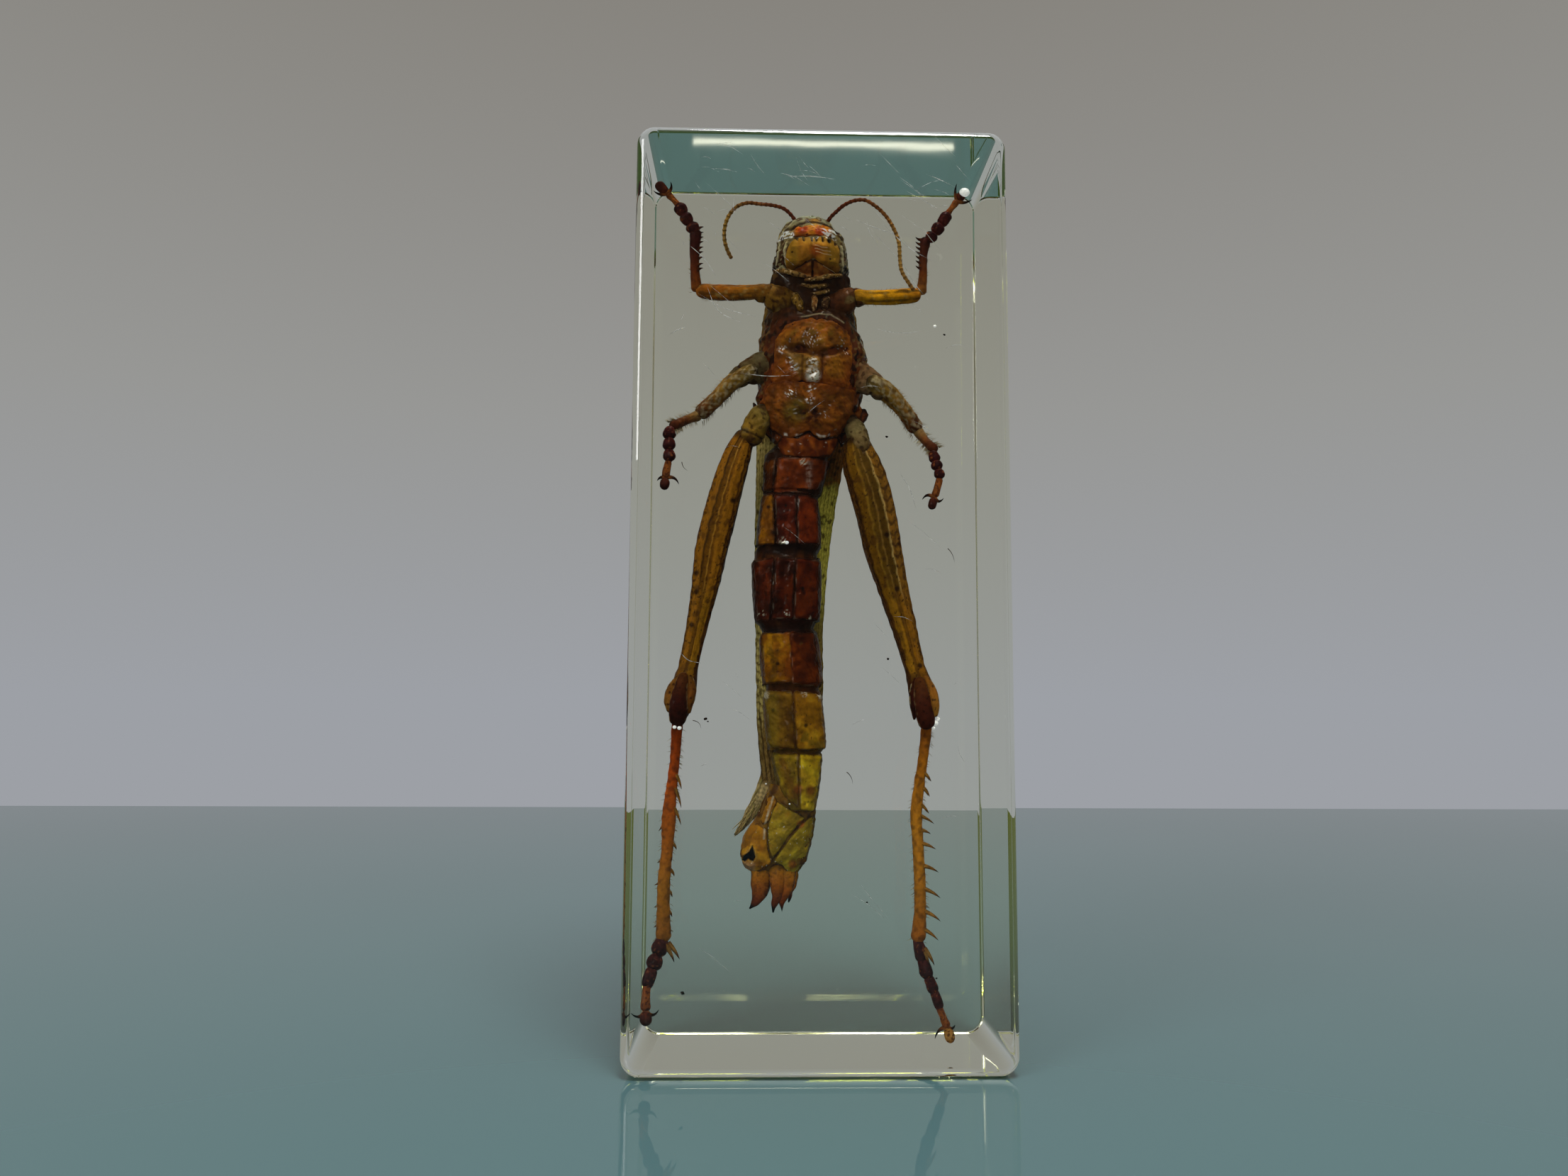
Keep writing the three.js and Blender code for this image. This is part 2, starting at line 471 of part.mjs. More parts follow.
function blockSolid() {
  const corners = [];
  for (let step = 0; step <= EDGE_STEPS; step += 1) {
    const angle = step / EDGE_STEPS * Math.PI / 2;
    const inset = EDGE_RADIUS * (1 - Math.sin(angle));
    const y = BLOCK_DEPTH / 2 - EDGE_RADIUS * (1 - Math.cos(angle));
    corners.push(...blockOutline(-y, inset), ...blockOutline(y, inset));
  }
  return solid(new ConvexGeometry(corners));
}

// The half of the block on one side of the parting plane (side is -1 for the front),
// with the pocket cut in from that plane so that no part of it is undercut.
function blockHalf(side) {
  const keep = new THREE.BoxGeometry(2 * BLOCK_WIDTH, BLOCK_DEPTH, 2 * BLOCK_HEIGHT);
  keep.translate(0, side * BLOCK_DEPTH / 2, BLOCK_HEIGHT / 2);
  let half = blockSolid().intersect(solid(keep));
  for (const cloud of recesses) {
    const deepest = Math.max(...cloud.map((point) => side * point.y));
    if (deepest <= 0) continue;
    const walls = cloud.map(({ x, y, z }) => new THREE.Vector3(x, side * Math.max(side * y, 0), z));
    const mouth = cloud.map(({ x, z }) => new THREE.Vector3(x, -side * POCKET_MOUTH, z));
    half = half.subtract(solid(new ConvexGeometry([...walls, ...mouth])));
  }
  return half;
}

// ---------------------------------------------------------------- the assembly

const resin = new THREE.MeshStandardMaterial({
  color: 0xdde6d8, roughness: 0.05, metalness: 0, transparent: true, opacity: 0.35,
});
const chitin = new THREE.MeshStandardMaterial({ color: 0x7d5216, roughness: 0.35, metalness: 0 });

const pieces = [
  ['resin_front', geometryOf(blockHalf(-1)), resin],
  ['resin_back', geometryOf(blockHalf(1)), resin],
  ['grasshopper', geometryOf(joined(forms)), chitin],
];

const insectInResin = new THREE.Group();
for (const [name, geometry, material] of pieces) {
  const mesh = new THREE.Mesh(geometry, material);
  mesh.name = name;
  insectInResin.add(mesh);
}

export default insectInResin;
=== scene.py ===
import bpy
import numpy as np
from mathutils import Matrix, Vector


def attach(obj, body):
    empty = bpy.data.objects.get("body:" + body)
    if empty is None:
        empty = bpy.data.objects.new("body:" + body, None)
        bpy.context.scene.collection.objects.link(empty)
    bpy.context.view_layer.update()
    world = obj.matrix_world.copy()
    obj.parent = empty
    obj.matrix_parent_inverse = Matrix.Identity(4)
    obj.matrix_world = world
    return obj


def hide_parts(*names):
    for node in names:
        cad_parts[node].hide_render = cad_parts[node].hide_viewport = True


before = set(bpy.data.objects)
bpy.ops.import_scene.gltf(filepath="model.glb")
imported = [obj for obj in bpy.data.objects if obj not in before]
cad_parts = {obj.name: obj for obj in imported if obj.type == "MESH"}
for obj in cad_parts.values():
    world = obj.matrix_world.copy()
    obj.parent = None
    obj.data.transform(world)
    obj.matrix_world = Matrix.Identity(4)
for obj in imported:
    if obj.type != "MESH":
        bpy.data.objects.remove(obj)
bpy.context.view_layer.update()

# ------------------------------------------------------------------ studio
# A pale bench top with a far edge, a soft room that is brighter overhead than beyond the block
# and dim behind the viewer, and two soft lamps. The camera looks slightly up.

MM = 0.001

CAMERA_PLACE = (-7.3577, -137.10, 41.8116)
CAMERA_LENS = 24.973  # mm, on a sensor 36 mm wide
CAMERA_PITCH = 0.1002
CAMERA_YAW = -0.0244
CAMERA_ROLL = 0.0048
SENSOR_WIDTH = 36

lens = bpy.data.cameras.new("camera")
lens.lens = CAMERA_LENS
lens.sensor_fit = "HORIZONTAL"
lens.sensor_width = SENSOR_WIDTH
lens.clip_start = 0.01
camera = bpy.data.objects.new("camera", lens)
turn = Matrix.Rotation(CAMERA_YAW, 4, "Z") @ Matrix.Rotation(np.pi / 2 + CAMERA_PITCH, 4, "X")
turn = turn @ Matrix.Rotation(CAMERA_ROLL, 4, "Z")
camera.matrix_world = Matrix.Translation(Vector(CAMERA_PLACE) * MM) @ turn
bpy.context.scene.collection.objects.link(camera)
bpy.context.scene.camera = camera

scene = bpy.context.scene
scene.view_settings.view_transform = "Standard"
scene.cycles.max_bounces = 28
scene.cycles.transmission_bounces = 24
scene.cycles.glossy_bounces = 8
scene.cycles.diffuse_bounces = 6
scene.cycles.transparent_max_bounces = 16
scene.cycles.sample_clamp_indirect = 12


def linear(colour):
    """One sRGB hex colour turned linear: a straight toe, then a power of 2.4."""
    parts = np.array([int(colour[i:i + 2], 16) for i in (1, 3, 5)]) / 255
    return np.where(parts <= 0.04045, parts / 12.92, ((parts + 0.055) / 1.055) ** 2.4)


def rgba(colour):
    """The same colour as four plain numbers, for a shader socket."""
    return (*linear(colour).tolist(), 1.0)


def new_material(name):
    """An empty node material, its node tree, and a socket with the place in the part's frame."""
    made = bpy.data.materials.new(name)
    made.use_nodes = True
    made.node_tree.nodes.clear()
    place = made.node_tree.nodes.new("ShaderNodeTexCoord").outputs["Object"]
    return made, made.node_tree, place


def add_node(tree, kind, inputs=None, **settings):
    """Adds one node: settings are its properties, inputs are values or other nodes' sockets."""
    made = tree.nodes.new(kind)
    for name, value in settings.items():
        setattr(made, name, value)
    for socket, value in (inputs or {}).items():
        if isinstance(value, bpy.types.NodeSocket):
            tree.links.new(value, made.inputs[socket])
        else:
            made.inputs[socket].default_value = value
    return made


WALL_HIGH = "#87847e"
WALL_MIDDLE = "#979795"
WALL_LOW = "#9da0a6"
CEILING_GLOW = (0.95, 0.96, 1.0)
ROOM_SHADE = (0.045, 0.04, 0.035)  # the dim end of the room, behind the viewer

world = bpy.data.worlds.new("soft_room")
world.use_nodes = True
room = world.node_tree
room.nodes.clear()
way = add_node(room, "ShaderNodeTexCoord")
parts = add_node(room, "ShaderNodeSeparateXYZ", {"Vector": way.outputs["Generated"]})
wall = add_node(room, "ShaderNodeValToRGB", {"Fac": parts.outputs["Z"]})
wall.color_ramp.elements.new(0.25)
for stop, (place, colour) in zip(
        wall.color_ramp.elements, [(0.0, WALL_LOW), (0.25, WALL_MIDDLE), (0.56, WALL_HIGH)]):
    stop.position = place
    stop.color = rgba(colour)
overhead = add_node(room, "ShaderNodeMapRange", {
    "Value": parts.outputs["Z"], "From Min": 0.6, "From Max": 0.85}, interpolation_type="SMOOTHSTEP")
lit = add_node(room, "ShaderNodeMix", {
    0: overhead.outputs["Result"], 6: wall.outputs["Color"], 7: (*CEILING_GLOW, 1.0)}, data_type="RGBA")
behind = add_node(room, "ShaderNodeMapRange", {
    "Value": parts.outputs["Y"], "From Min": -0.72, "From Max": -0.86}, interpolation_type="SMOOTHSTEP")
dim = add_node(room, "ShaderNodeMix", {
    0: behind.outputs["Result"], 6: lit.outputs[2], 7: (*ROOM_SHADE, 1.0)}, data_type="RGBA")
# A short bright strip light high beyond the bench, which only shows mirrored in the block's top.
# It is bounded by its slopes, x over y and z over y, and falls a little towards the right.
STRIP_SIDES = (-0.07, 0.2)
STRIP_HEIGHTS = (0.685, 0.6915)
STRIP_FALL = 0.005
STRIP_GLOW = (15.0, 0.97 * 15.0, 0.86 * 15.0)
across = add_node(room, "ShaderNodeMath", {0: parts.outputs["X"], 1: parts.outputs["Y"]}, operation="DIVIDE")
rise = add_node(room, "ShaderNodeMath", {0: parts.outputs["Z"], 1: parts.outputs["Y"]}, operation="DIVIDE")
fallen = add_node(room, "ShaderNodeMath", {
    0: across.outputs["Value"], 1: STRIP_FALL, 2: rise.outputs["Value"]}, operation="MULTIPLY_ADD")
inside_strip = add_node(room, "ShaderNodeMath", {0: parts.outputs["Y"], 1: 0.0}, operation="GREATER_THAN")
for value, bounds in [(across, STRIP_SIDES), (fallen, STRIP_HEIGHTS)]:
    for bound, side in zip(bounds, ("GREATER_THAN", "LESS_THAN")):
        test = add_node(room, "ShaderNodeMath", {0: value.outputs["Value"], 1: bound}, operation=side)
        inside_strip = add_node(room, "ShaderNodeMath", {
            0: inside_strip.outputs["Value"], 1: test.outputs["Value"]}, operation="MULTIPLY")
with_strip = add_node(room, "ShaderNodeMix", {
    0: inside_strip.outputs["Value"], 6: dim.outputs[2],
    7: (*STRIP_GLOW, 1.0)}, data_type="RGBA")
back = add_node(room, "ShaderNodeBackground", {"Color": with_strip.outputs[2], "Strength": 1.0})
add_node(room, "ShaderNodeOutputWorld", {"Surface": back.outputs["Background"]})
scene.world = world

LAMPS = [  # name, place, width, length, watts, all aimed at the middle of the block
    ("overhead_softbox", (43, -160, 520), (130, 260), 3.2),
    ("front_softbox", (-420, -420, 330), (260, 260), 2.4),
]
BLOCK_MIDDLE = (0, 0, 60)
for name, place, (width, length), watts in LAMPS:
    lamp = bpy.data.lights.new(name, "AREA")
    lamp.shape = "RECTANGLE"
    lamp.size = width * MM
    lamp.size_y = length * MM
    lamp.energy = watts
    holder = bpy.data.objects.new(name, lamp)
    aim = Vector(BLOCK_MIDDLE) - Vector(place)
    turn = aim.to_track_quat("-Z", "Y").to_matrix().to_4x4()
    holder.matrix_world = Matrix.Translation(Vector(place) * MM) @ turn
    scene.collection.objects.link(holder)

BENCH_HALF_WIDTH = 700
BENCH_FAR_EDGE = 285
BENCH_NEAR_EDGE = -900
BENCH_GAP = 0.12  # the block stands this far above the bench, so that its base stays a clear face

bench_mesh = bpy.data.meshes.new("bench")
bench_mesh.from_pydata([
    (x * BENCH_HALF_WIDTH * MM, y * MM, -BENCH_GAP * MM)
    for x, y in [(-1, BENCH_NEAR_EDGE), (1, BENCH_NEAR_EDGE), (1, BENCH_FAR_EDGE), (-1, BENCH_FAR_EDGE)]
], [], [(0, 1, 2, 3)])
bench = bpy.data.objects.new("bench", bench_mesh)
scene.collection.objects.link(bench)

# Glossy painted board: even, with a faint cloudiness.
paintwork, tree, place = new_material("pale_gloss_board")
cloud = add_node(tree, "ShaderNodeTexNoise", {"Vector": place, "Scale": 6.0})
board = add_node(tree, "ShaderNodeMix", {
    0: cloud.outputs["Fac"], 6: rgba("#3e5759"), 7: rgba("#445e60")}, data_type="RGBA")
face = add_node(tree, "ShaderNodeBsdfPrincipled", {"Base Color": board.outputs[2], "Roughness": 0.03})
add_node(tree, "ShaderNodeOutputMaterial", {"Surface": face.outputs["BSDF"]})
bench_mesh.materials.append(paintwork)

# ------------------------------------------------------------------ resin block
# One casting of clear polyester resin that was poured round the insect, then sanded and
# polished. It draws in a little towards the back, where the mould opened.

BLOCK_WIDTH = 44.5
BLOCK_DEPTH = 26
BLOCK_HEIGHT = 110
BLOCK_DRAFT = 0.9
CORNER_RADIUS = 2.2
FRONT_EDGE_RADIUS = 1.2
BACK_EDGE_RADIUS = 0.25
CORNER_STEPS = 12
EDGE_STEPS = 8
SMALLEST_WALL = 8  # a face larger than this square is one of the block's flat sides


def block_outline(y, inset):
    """The block's outline at one depth: a rectangle with four quarter circles for corners,
    drawn in by the inset and by a draft that grows evenly towards the back."""
    draft = BLOCK_DRAFT * (y / BLOCK_DEPTH + 0.5)
    half = BLOCK_WIDTH / 2 - draft - inset
    radius = CORNER_RADIUS - inset
    turn = np.linspace(0, np.pi / 2, CORNER_STEPS)[None] + np.arange(-1, 3)[:, None] * np.pi / 2
    centre_x = np.array([1, 1, -1, -1])[:, None] * (half - radius)
    low, high = inset + radius, BLOCK_HEIGHT - draft - inset - radius
    centre_z = np.array([low, high, high, low])[:, None]
    x = centre_x + radius * np.cos(turn)
    z = centre_z + radius * np.sin(turn)
    return np.stack([x, np.full_like(x, y), z], axis=-1).reshape(-1, 3)


def closed_shell(points, paint=None):
    """A closed skin from a grid of points, rows by columns: quads between neighbours and a fan
    from the middle of each end row, turned so that its volume is positive."""
    rows, around = points.shape[:2]
    index = np.arange(rows * around).reshape(rows, around)
    turned = np.roll(index, -1, axis=1)
    quads = np.stack([index[:-1], turned[:-1], turned[1:], index[1:]], axis=-1).reshape(-1, 4)
    pole = rows * around
    fan = np.concatenate([
        np.stack([turned[0], index[0], np.full(around, pole)], axis=-1),
        np.stack([index[-1], turned[-1], np.full(around, pole + 1)], axis=-1)])
    places = np.concatenate([points.reshape(-1, 3), points[[0, -1]].mean(axis=1)])
    a, b, c, d = (places[quads[:, k]] for k in range(4))
    volume = (np.cross(b - a, c - a) * a).sum() + (np.cross(c - a, d - a) * a).sum()
    if volume < 0:
        quads, fan = quads[:, ::-1], fan[:, ::-1]
    if paint is not None:
        paint = np.concatenate([paint.reshape(-1, 4), paint[[0, -1]].mean(axis=1)])
    return places, quads, fan, paint


def make_piece(name, shells, material, replaced=("grasshopper",)):
    """One object from closed shells that share a material. It rides on the body, stands for the
    CAD nodes replaced, if any, and carries its colours in the point attribute called shade."""
    offsets = np.cumsum([0] + [len(shell[0]) for shell in shells[:-1]])
    places = np.concatenate([shell[0] for shell in shells])
    quads = np.concatenate([shell[1] + start for shell, start in zip(shells, offsets)])
    fans = np.concatenate([shell[2] + start for shell, start in zip(shells, offsets)])
    mesh = bpy.data.meshes.new(name)
    mesh.vertices.add(len(places))
    mesh.vertices.foreach_set("co", (places * MM).ravel())
    mesh.loops.add(quads.size + fans.size)
    mesh.loops.foreach_set("vertex_index", np.concatenate([quads.ravel(), fans.ravel()]))
    mesh.polygons.add(len(quads) + len(fans))
    starts = np.concatenate([np.arange(len(quads)) * 4, quads.size + np.arange(len(fans)) * 3])
    mesh.polygons.foreach_set("loop_start", starts)
    mesh.polygons.foreach_set("use_smooth", np.full(len(starts), True))
    mesh.update(calc_edges=True)
    mesh.validate()
    if shells[0][3] is not None:
        shade = mesh.attributes.new("shade", "FLOAT_COLOR", "POINT")
        paint = np.concatenate([shell[3] for shell in shells])
        shade.data.foreach_set("color", paint.ravel())
    mesh.materials.append(material)
    made = bpy.data.objects.new(name, mesh)
    scene.collection.objects.link(made)
    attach(made, "root")
    if replaced:
        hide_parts(*replaced)
    return made


def edge_rows(radius, side):
    """Outlines round one edge of the block: a quarter circle from the face to the side walls."""
    edge = np.linspace(0, np.pi / 2, EDGE_STEPS + 1)
    depth = BLOCK_DEPTH / 2 - radius * (1 - np.cos(edge))
    return [block_outline(side * y, inset) for y, inset in zip(depth, radius * (1 - np.sin(edge)))]


block_rows = np.stack([*edge_rows(FRONT_EDGE_RADIUS, -1), *edge_rows(BACK_EDGE_RADIUS, 1)[::-1]])

# Clear casting resin: glassy, with a faint yellow-green tint that deepens with length.
clear_resin, tree, place = new_material("polished_clear_casting_resin")
POLISH_SWIRL = 9.0  # mm between the slow waves that hand polishing leaves
swirl = add_node(tree, "ShaderNodeTexNoise", {
    "Vector": place, "Scale": 1 / (POLISH_SWIRL * MM), "Detail": 1.0})
wave = add_node(tree, "ShaderNodeBump", {
    "Height": swirl.outputs["Fac"], "Strength": 1.0, "Distance": 0.004 * MM})
glassy = add_node(tree, "ShaderNodeBsdfPrincipled", {
    "Base Color": (1.0, 1.0, 1.0, 1.0), "Roughness": 0.0, "IOR": 1.5,
    "Transmission Weight": 1.0, "Normal": wave.outputs["Normal"]})
tint = add_node(tree, "ShaderNodeVolumeAbsorption", {"Color": rgba("#ecf089"), "Density": 8.0})
add_node(tree, "ShaderNodeOutputMaterial", {
    "Surface": glassy.outputs["BSDF"], "Volume": tint.outputs["Volume"]})

block = make_piece("resin_block", [closed_shell(block_rows)], clear_resin,
                   ["resin_front", "resin_back"])
walls = np.array([polygon.area for polygon in block.data.polygons]) > (SMALLEST_WALL * MM) ** 2
caps = np.array([len(polygon.vertices) == 3 for polygon in block.data.polygons])
block.data.polygons.foreach_set("use_smooth", ~(walls | caps))

# ------------------------------------------------------------------ trunk
# The thorax: fused plates of dried shell, dark at the neck, with the broad glossy breast
# plates of a grasshopper laid over it.

FAR = np.array([0.0, 1.0, 0.0])  # the insect's back is on this side
BODY_FLATNESS = 0.8


def unit(vectors):
    """Vectors of length one."""
    return vectors / (np.linalg.norm(vectors, axis=-1, keepdims=True) + 1e-12)


def smooth(low, high, value):
    """0 below low and 1 above high, with an S-shaped rise between them."""
    t = np.clip((value - low) / (high - low), 0, 1)
    return t * t * (3 - 2 * t)


def run_through(stations, rows):
    """Rows of values on a smooth run through the stations, evenly spaced along its length:
    cubics whose slope at each station is the weighted mean of the slopes on its two sides."""
    s = np.asarray(stations, float)
    length = np.concatenate([[0], np.cumsum(np.linalg.norm(np.diff(s[:, :3], axis=0), axis=1))])
    slope = np.gradient(s, length, axis=0)
    at = np.linspace(0, length[-1], rows)
    k = np.clip(np.searchsorted(length, at, side="right") - 1, 0, len(s) - 2)
    span = (length[k + 1] - length[k])[:, None]
    t = (at - length[k])[:, None] / span
    start = (2 * t**3 - 3 * t**2 + 1) * s[k] + (t**3 - 2 * t**2 + t) * span * slope[k]
    end = (3 * t**2 - 2 * t**3) * s[k + 1] + (t**3 - t**2) * span * slope[k + 1]
    return start + end


def ring_points(run, around, flatness=1.0, round_ends=(True, True)):
    """Oval rings along a run of [x, y, z, half width, belly, back]: centre, plus across times
    half |cos|^flatness, plus back times depth |sin|^flatness. A round end closes as a dome."""
    if run.shape[1] == 4:
        run = np.column_stack([run, run[:, 3], run[:, 3]])
    if run.shape[1] == 5:
        run = np.column_stack([run, run[:, 4]])
    centre = run[:, :3]
    along = unit(np.gradient(centre, axis=0))
    across = unit(np.cross(along, FAR))
    back = unit(np.cross(across, along))
    angle = np.arange(around) / around * 2 * np.pi
    cos = np.sign(np.cos(angle)) * np.abs(np.cos(angle)) ** flatness
    sin = np.sign(np.sin(angle)) * np.abs(np.sin(angle)) ** flatness
    gone = np.concatenate([[0], np.cumsum(np.linalg.norm(np.diff(centre, axis=0), axis=1))])
    closing = np.ones(len(run))
    for dome, left, radius in zip(round_ends, (gone, gone[-1] - gone), (run[0, 3], run[-1, 3])):
        if dome:
            share = np.clip(1 - left / (radius + 1e-9), 0, 0.997)
            closing = np.minimum(closing, np.sqrt(1 - share**2))
    half = (run[:, 3] * closing)[:, None] * cos
    depth = np.where(sin > 0, run[:, 5:6], run[:, 4:5]) * closing[:, None] * sin
    return centre[:, None] + across[:, None] * half[..., None] + back[:, None] * depth[..., None]


def outward(points):
    """Unit normals of a grid of rings: the step along crossed with the step around."""
    along = np.gradient(points, axis=0)
    around = np.roll(points, -1, axis=1) - np.roll(points, 1, axis=1)
    normal = unit(np.cross(along, around))
    out = ((points - points.mean(axis=1, keepdims=True)) * normal).sum(axis=-1).mean()
    return normal * np.sign(out)


def mottle(points, size, seed):
    """Smooth seeded unevenness from about -1 to 1: a sum of plane waves in all directions,
    each from 0.7 to 1.6 times the size long."""
    dice = np.random.default_rng(seed)
    ways = unit(dice.normal(size=(20, 3))) * 2 * np.pi / (size * dice.uniform(0.7, 1.6, (20, 1)))
    phase = dice.uniform(0, 2 * np.pi, 20)
    return np.cos(points @ ways.T + phase).sum(axis=-1) / np.sqrt(20)


def from_line(x, z, corners):
    """The distance in mm from each point to an open row of (x, z) corners."""
    best = np.full(np.shape(x), np.inf)
    for (ax, az), (bx, bz) in zip(corners[:-1], corners[1:]):
        run_x, run_z = bx - ax, bz - az
        t = np.clip(((x - ax) * run_x + (z - az) * run_z) / (run_x**2 + run_z**2 + 1e-12), 0, 1)
        best = np.minimum(best, np.hypot(x - ax - t * run_x, z - az - t * run_z))
    return best


def inside(x, z, corners):
    """How far each point lies inside a closed row of (x, z) corners, in mm: the distance to
    the nearest side, negative outside, where a level ray crosses the sides an even number of times."""
    loop = [*corners, corners[0]]
    odd = np.zeros(np.shape(x), bool)
    for (ax, az), (bx, bz) in zip(loop[:-1], loop[1:]):
        if az == bz:
            continue
        crossing = (az > z) != (bz > z)
        odd ^= crossing & (x < (bx - ax) * (z - az) / (bz - az) + ax)
    return np.where(odd, 1, -1) * from_line(x, z, loop)


def tint_with(paint, colour, mask):
    """The paint moved towards one colour by the mask, from 0 to 1."""
    goal = np.append(linear(colour), 0)
    goal = np.where(np.arange(4) < 3, goal, paint)
    return paint + (goal - paint) * np.clip(mask, 0, 1)[..., None]


def shine(paint, mask):
    """The paint with air glints: its fourth number raised to the mask."""
    return np.concatenate([paint[..., :3], np.maximum(paint[..., 3], mask)[..., None]], axis=-1)


def glinting(paint, colour, share, glint):
    """The paint with air glints, and a painted highlight: the colour moved towards a pale one by a share of
    the same mask.
    """
    return shine(tint_with(paint, colour, share * glint), glint)


def layered(paint, layers):
    """The paint under layers of (colour, mask), the first lowest."""
    for colour, mask in layers:
        paint = tint_with(paint, colour, mask)
    return paint


def stops(t, *colours):
    """A colour for each t from 0 to 1, blended between colours at even steps, with no glints."""
    table = np.array([[*linear(colour), 0] for colour in colours])
    at = np.linspace(0, 1, len(colours))
    return np.stack([np.interp(t, at, table[:, k]) for k in range(4)], axis=-1)


WETTED_IOR = 1.06  # of shell against the resin that wets it, which leaves it almost no gloss
PORE_SHADE = 0.35  # how much darker the shell is in its pores


def dried_shell(name, roughness, coat, grain, bump):
    """Dried insect shell in the piece's own colours, made uneven at the grain size in mm: darker
    in its pores, rougher where it is darker, and pitted by the bump in mm."""
    made, tree, place = new_material(name)
    shade = add_node(tree, "ShaderNodeAttribute", attribute_name="shade")
    coarse = add_node(tree, "ShaderNodeTexNoise", {
        "Vector": place, "Scale": 1 / (grain * MM), "Detail": 4.0, "Roughness": 0.6})
    pores = add_node(tree, "ShaderNodeTexVoronoi", {
        "Vector": place, "Scale": 1 / (0.45 * grain * MM)})
    stain = add_node(tree, "ShaderNodeMapRange", {
        "Value": coarse.outputs["Fac"], "From Min": 0.32, "From Max": 0.62, "To Min": 1 - PORE_SHADE,
        "To Max": 1.12})
    stained = add_node(tree, "ShaderNodeVectorMath", {
        0: shade.outputs["Color"], 1: stain.outputs["Result"]}, operation="MULTIPLY")
    rough = add_node(tree, "ShaderNodeMapRange", {
        "Value": coarse.outputs["Fac"], "From Min": 0.3, "From Max": 0.7,
        "To Min": roughness * 1.3, "To Max": roughness * 0.75})
    relief = add_node(tree, "ShaderNodeMath", {
        0: pores.outputs["Distance"], 1: coarse.outputs["Fac"]}, operation="ADD")
    pits = add_node(tree, "ShaderNodeBump", {
        "Height": relief.outputs["Value"], "Strength": 1.0, "Distance": bump * MM})
    glint = add_node(tree, "ShaderNodeMath", {
        0: shade.outputs["Alpha"], 1: coat}, operation="ADD", use_clamp=True)
    shell = add_node(tree, "ShaderNodeBsdfPrincipled", {
        "Base Color": stained.outputs["Vector"], "Roughness": rough.outputs["Result"], "IOR": WETTED_IOR,
        "Coat Weight": glint.outputs["Value"], "Coat Roughness": 0.08, "Coat IOR": 2.2,
        "Normal": pits.outputs["Normal"], "Coat Normal": pits.outputs["Normal"]})
    add_node(tree, "ShaderNodeOutputMaterial", {"Surface": shell.outputs["BSDF"]})
    return made


# Glossy breast plates, matt leg shell, thin wing skin and hard dark horn.
breast_shell = dried_shell("polished_breast_chitin", 0.22, 0.03, 0.9, 0.03)
leg_shell = dried_shell("matt_leg_chitin", 0.42, 0.01, 0.6, 0.03)
belly_shell = dried_shell("satin_belly_chitin", 0.3, 0.02, 0.8, 0.025)
wing_skin = dried_shell("dry_wing_membrane", 0.45, 0.01, 0.5, 0.02)
horn = dried_shell("dark_spine_horn", 0.3, 0.02, 0.3, 0.01)

THORAX = [
    [-0.9, 0, 97.0, 3.6, 2.2, 5.2],
    [-1.0, 0, 94.6, 4.9, 3.6, 6.0],
    [-1.0, 0, 91.8, 5.0, 3.7, 6.4],
    [-1.0, 0, 90.0, 5.3, 4.1, 6.7],
    [-1.0, 0, 88.2, 5.6, 5.2, 6.9],
    [-1.0, 0, 86.0, 6.3, 5.6, 6.9],
    [-0.8, 0, 83.4, 6.8, 5.7, 6.6],
    [-1.0, 0, 80.4, 6.5, 5.6, 6.2],
    [-1.2, 0, 77.8, 6.3, 5.4, 5.8],
    [-1.4, 0, 75.4, 5.4, 5.2, 5.4],
    [-1.5, 0, 73.8, 4.4, 4.9, 5.2],
]


def on_belly(x, z, stations):
    """The depth of the trunk's belly at (x, z): y is minus front times
    (1 - |x from the middle / half|^(2/flatness))^(flatness/2)."""
    table = np.array(stations)[::-1]
    middle, half, front = (np.interp(z, table[:, 2], table[:, k]) for k in (0, 3, 4))
    share = np.clip(np.abs((x - middle) / half), 0, 0.98)
    return -front * (1 - share ** (2 / BODY_FLATNESS)) ** (BODY_FLATNESS / 2)


def breast(x, z):
    """The depth of the thorax's belly at (x, z)."""
    return on_belly(x, z, THORAX)


def line_mask(x, z, corners, width):
    """1 on an open line of (x, z) corners, fading to 0 at the width in mm."""
    return smooth(width, 0.3 * width, from_line(x, z, corners))


def spot_mask(x, z, middle, reach):
    """1 in the middle of a round spot, fading to 0 at its reach in mm."""
    return smooth(reach, 0.35 * reach, np.hypot(x - middle[0], z - middle[1]))


def flecks(points, size, seed, cut):
    """1 on small irregular flecks, where smooth unevenness of the size in mm tops the cut."""
    return smooth(cut, cut + 0.25, mottle(points, size, seed))


def sink(grid, depth):
    """The grid pressed in along its normals by the depth in mm."""
    return grid - outward(grid) * depth[..., None]


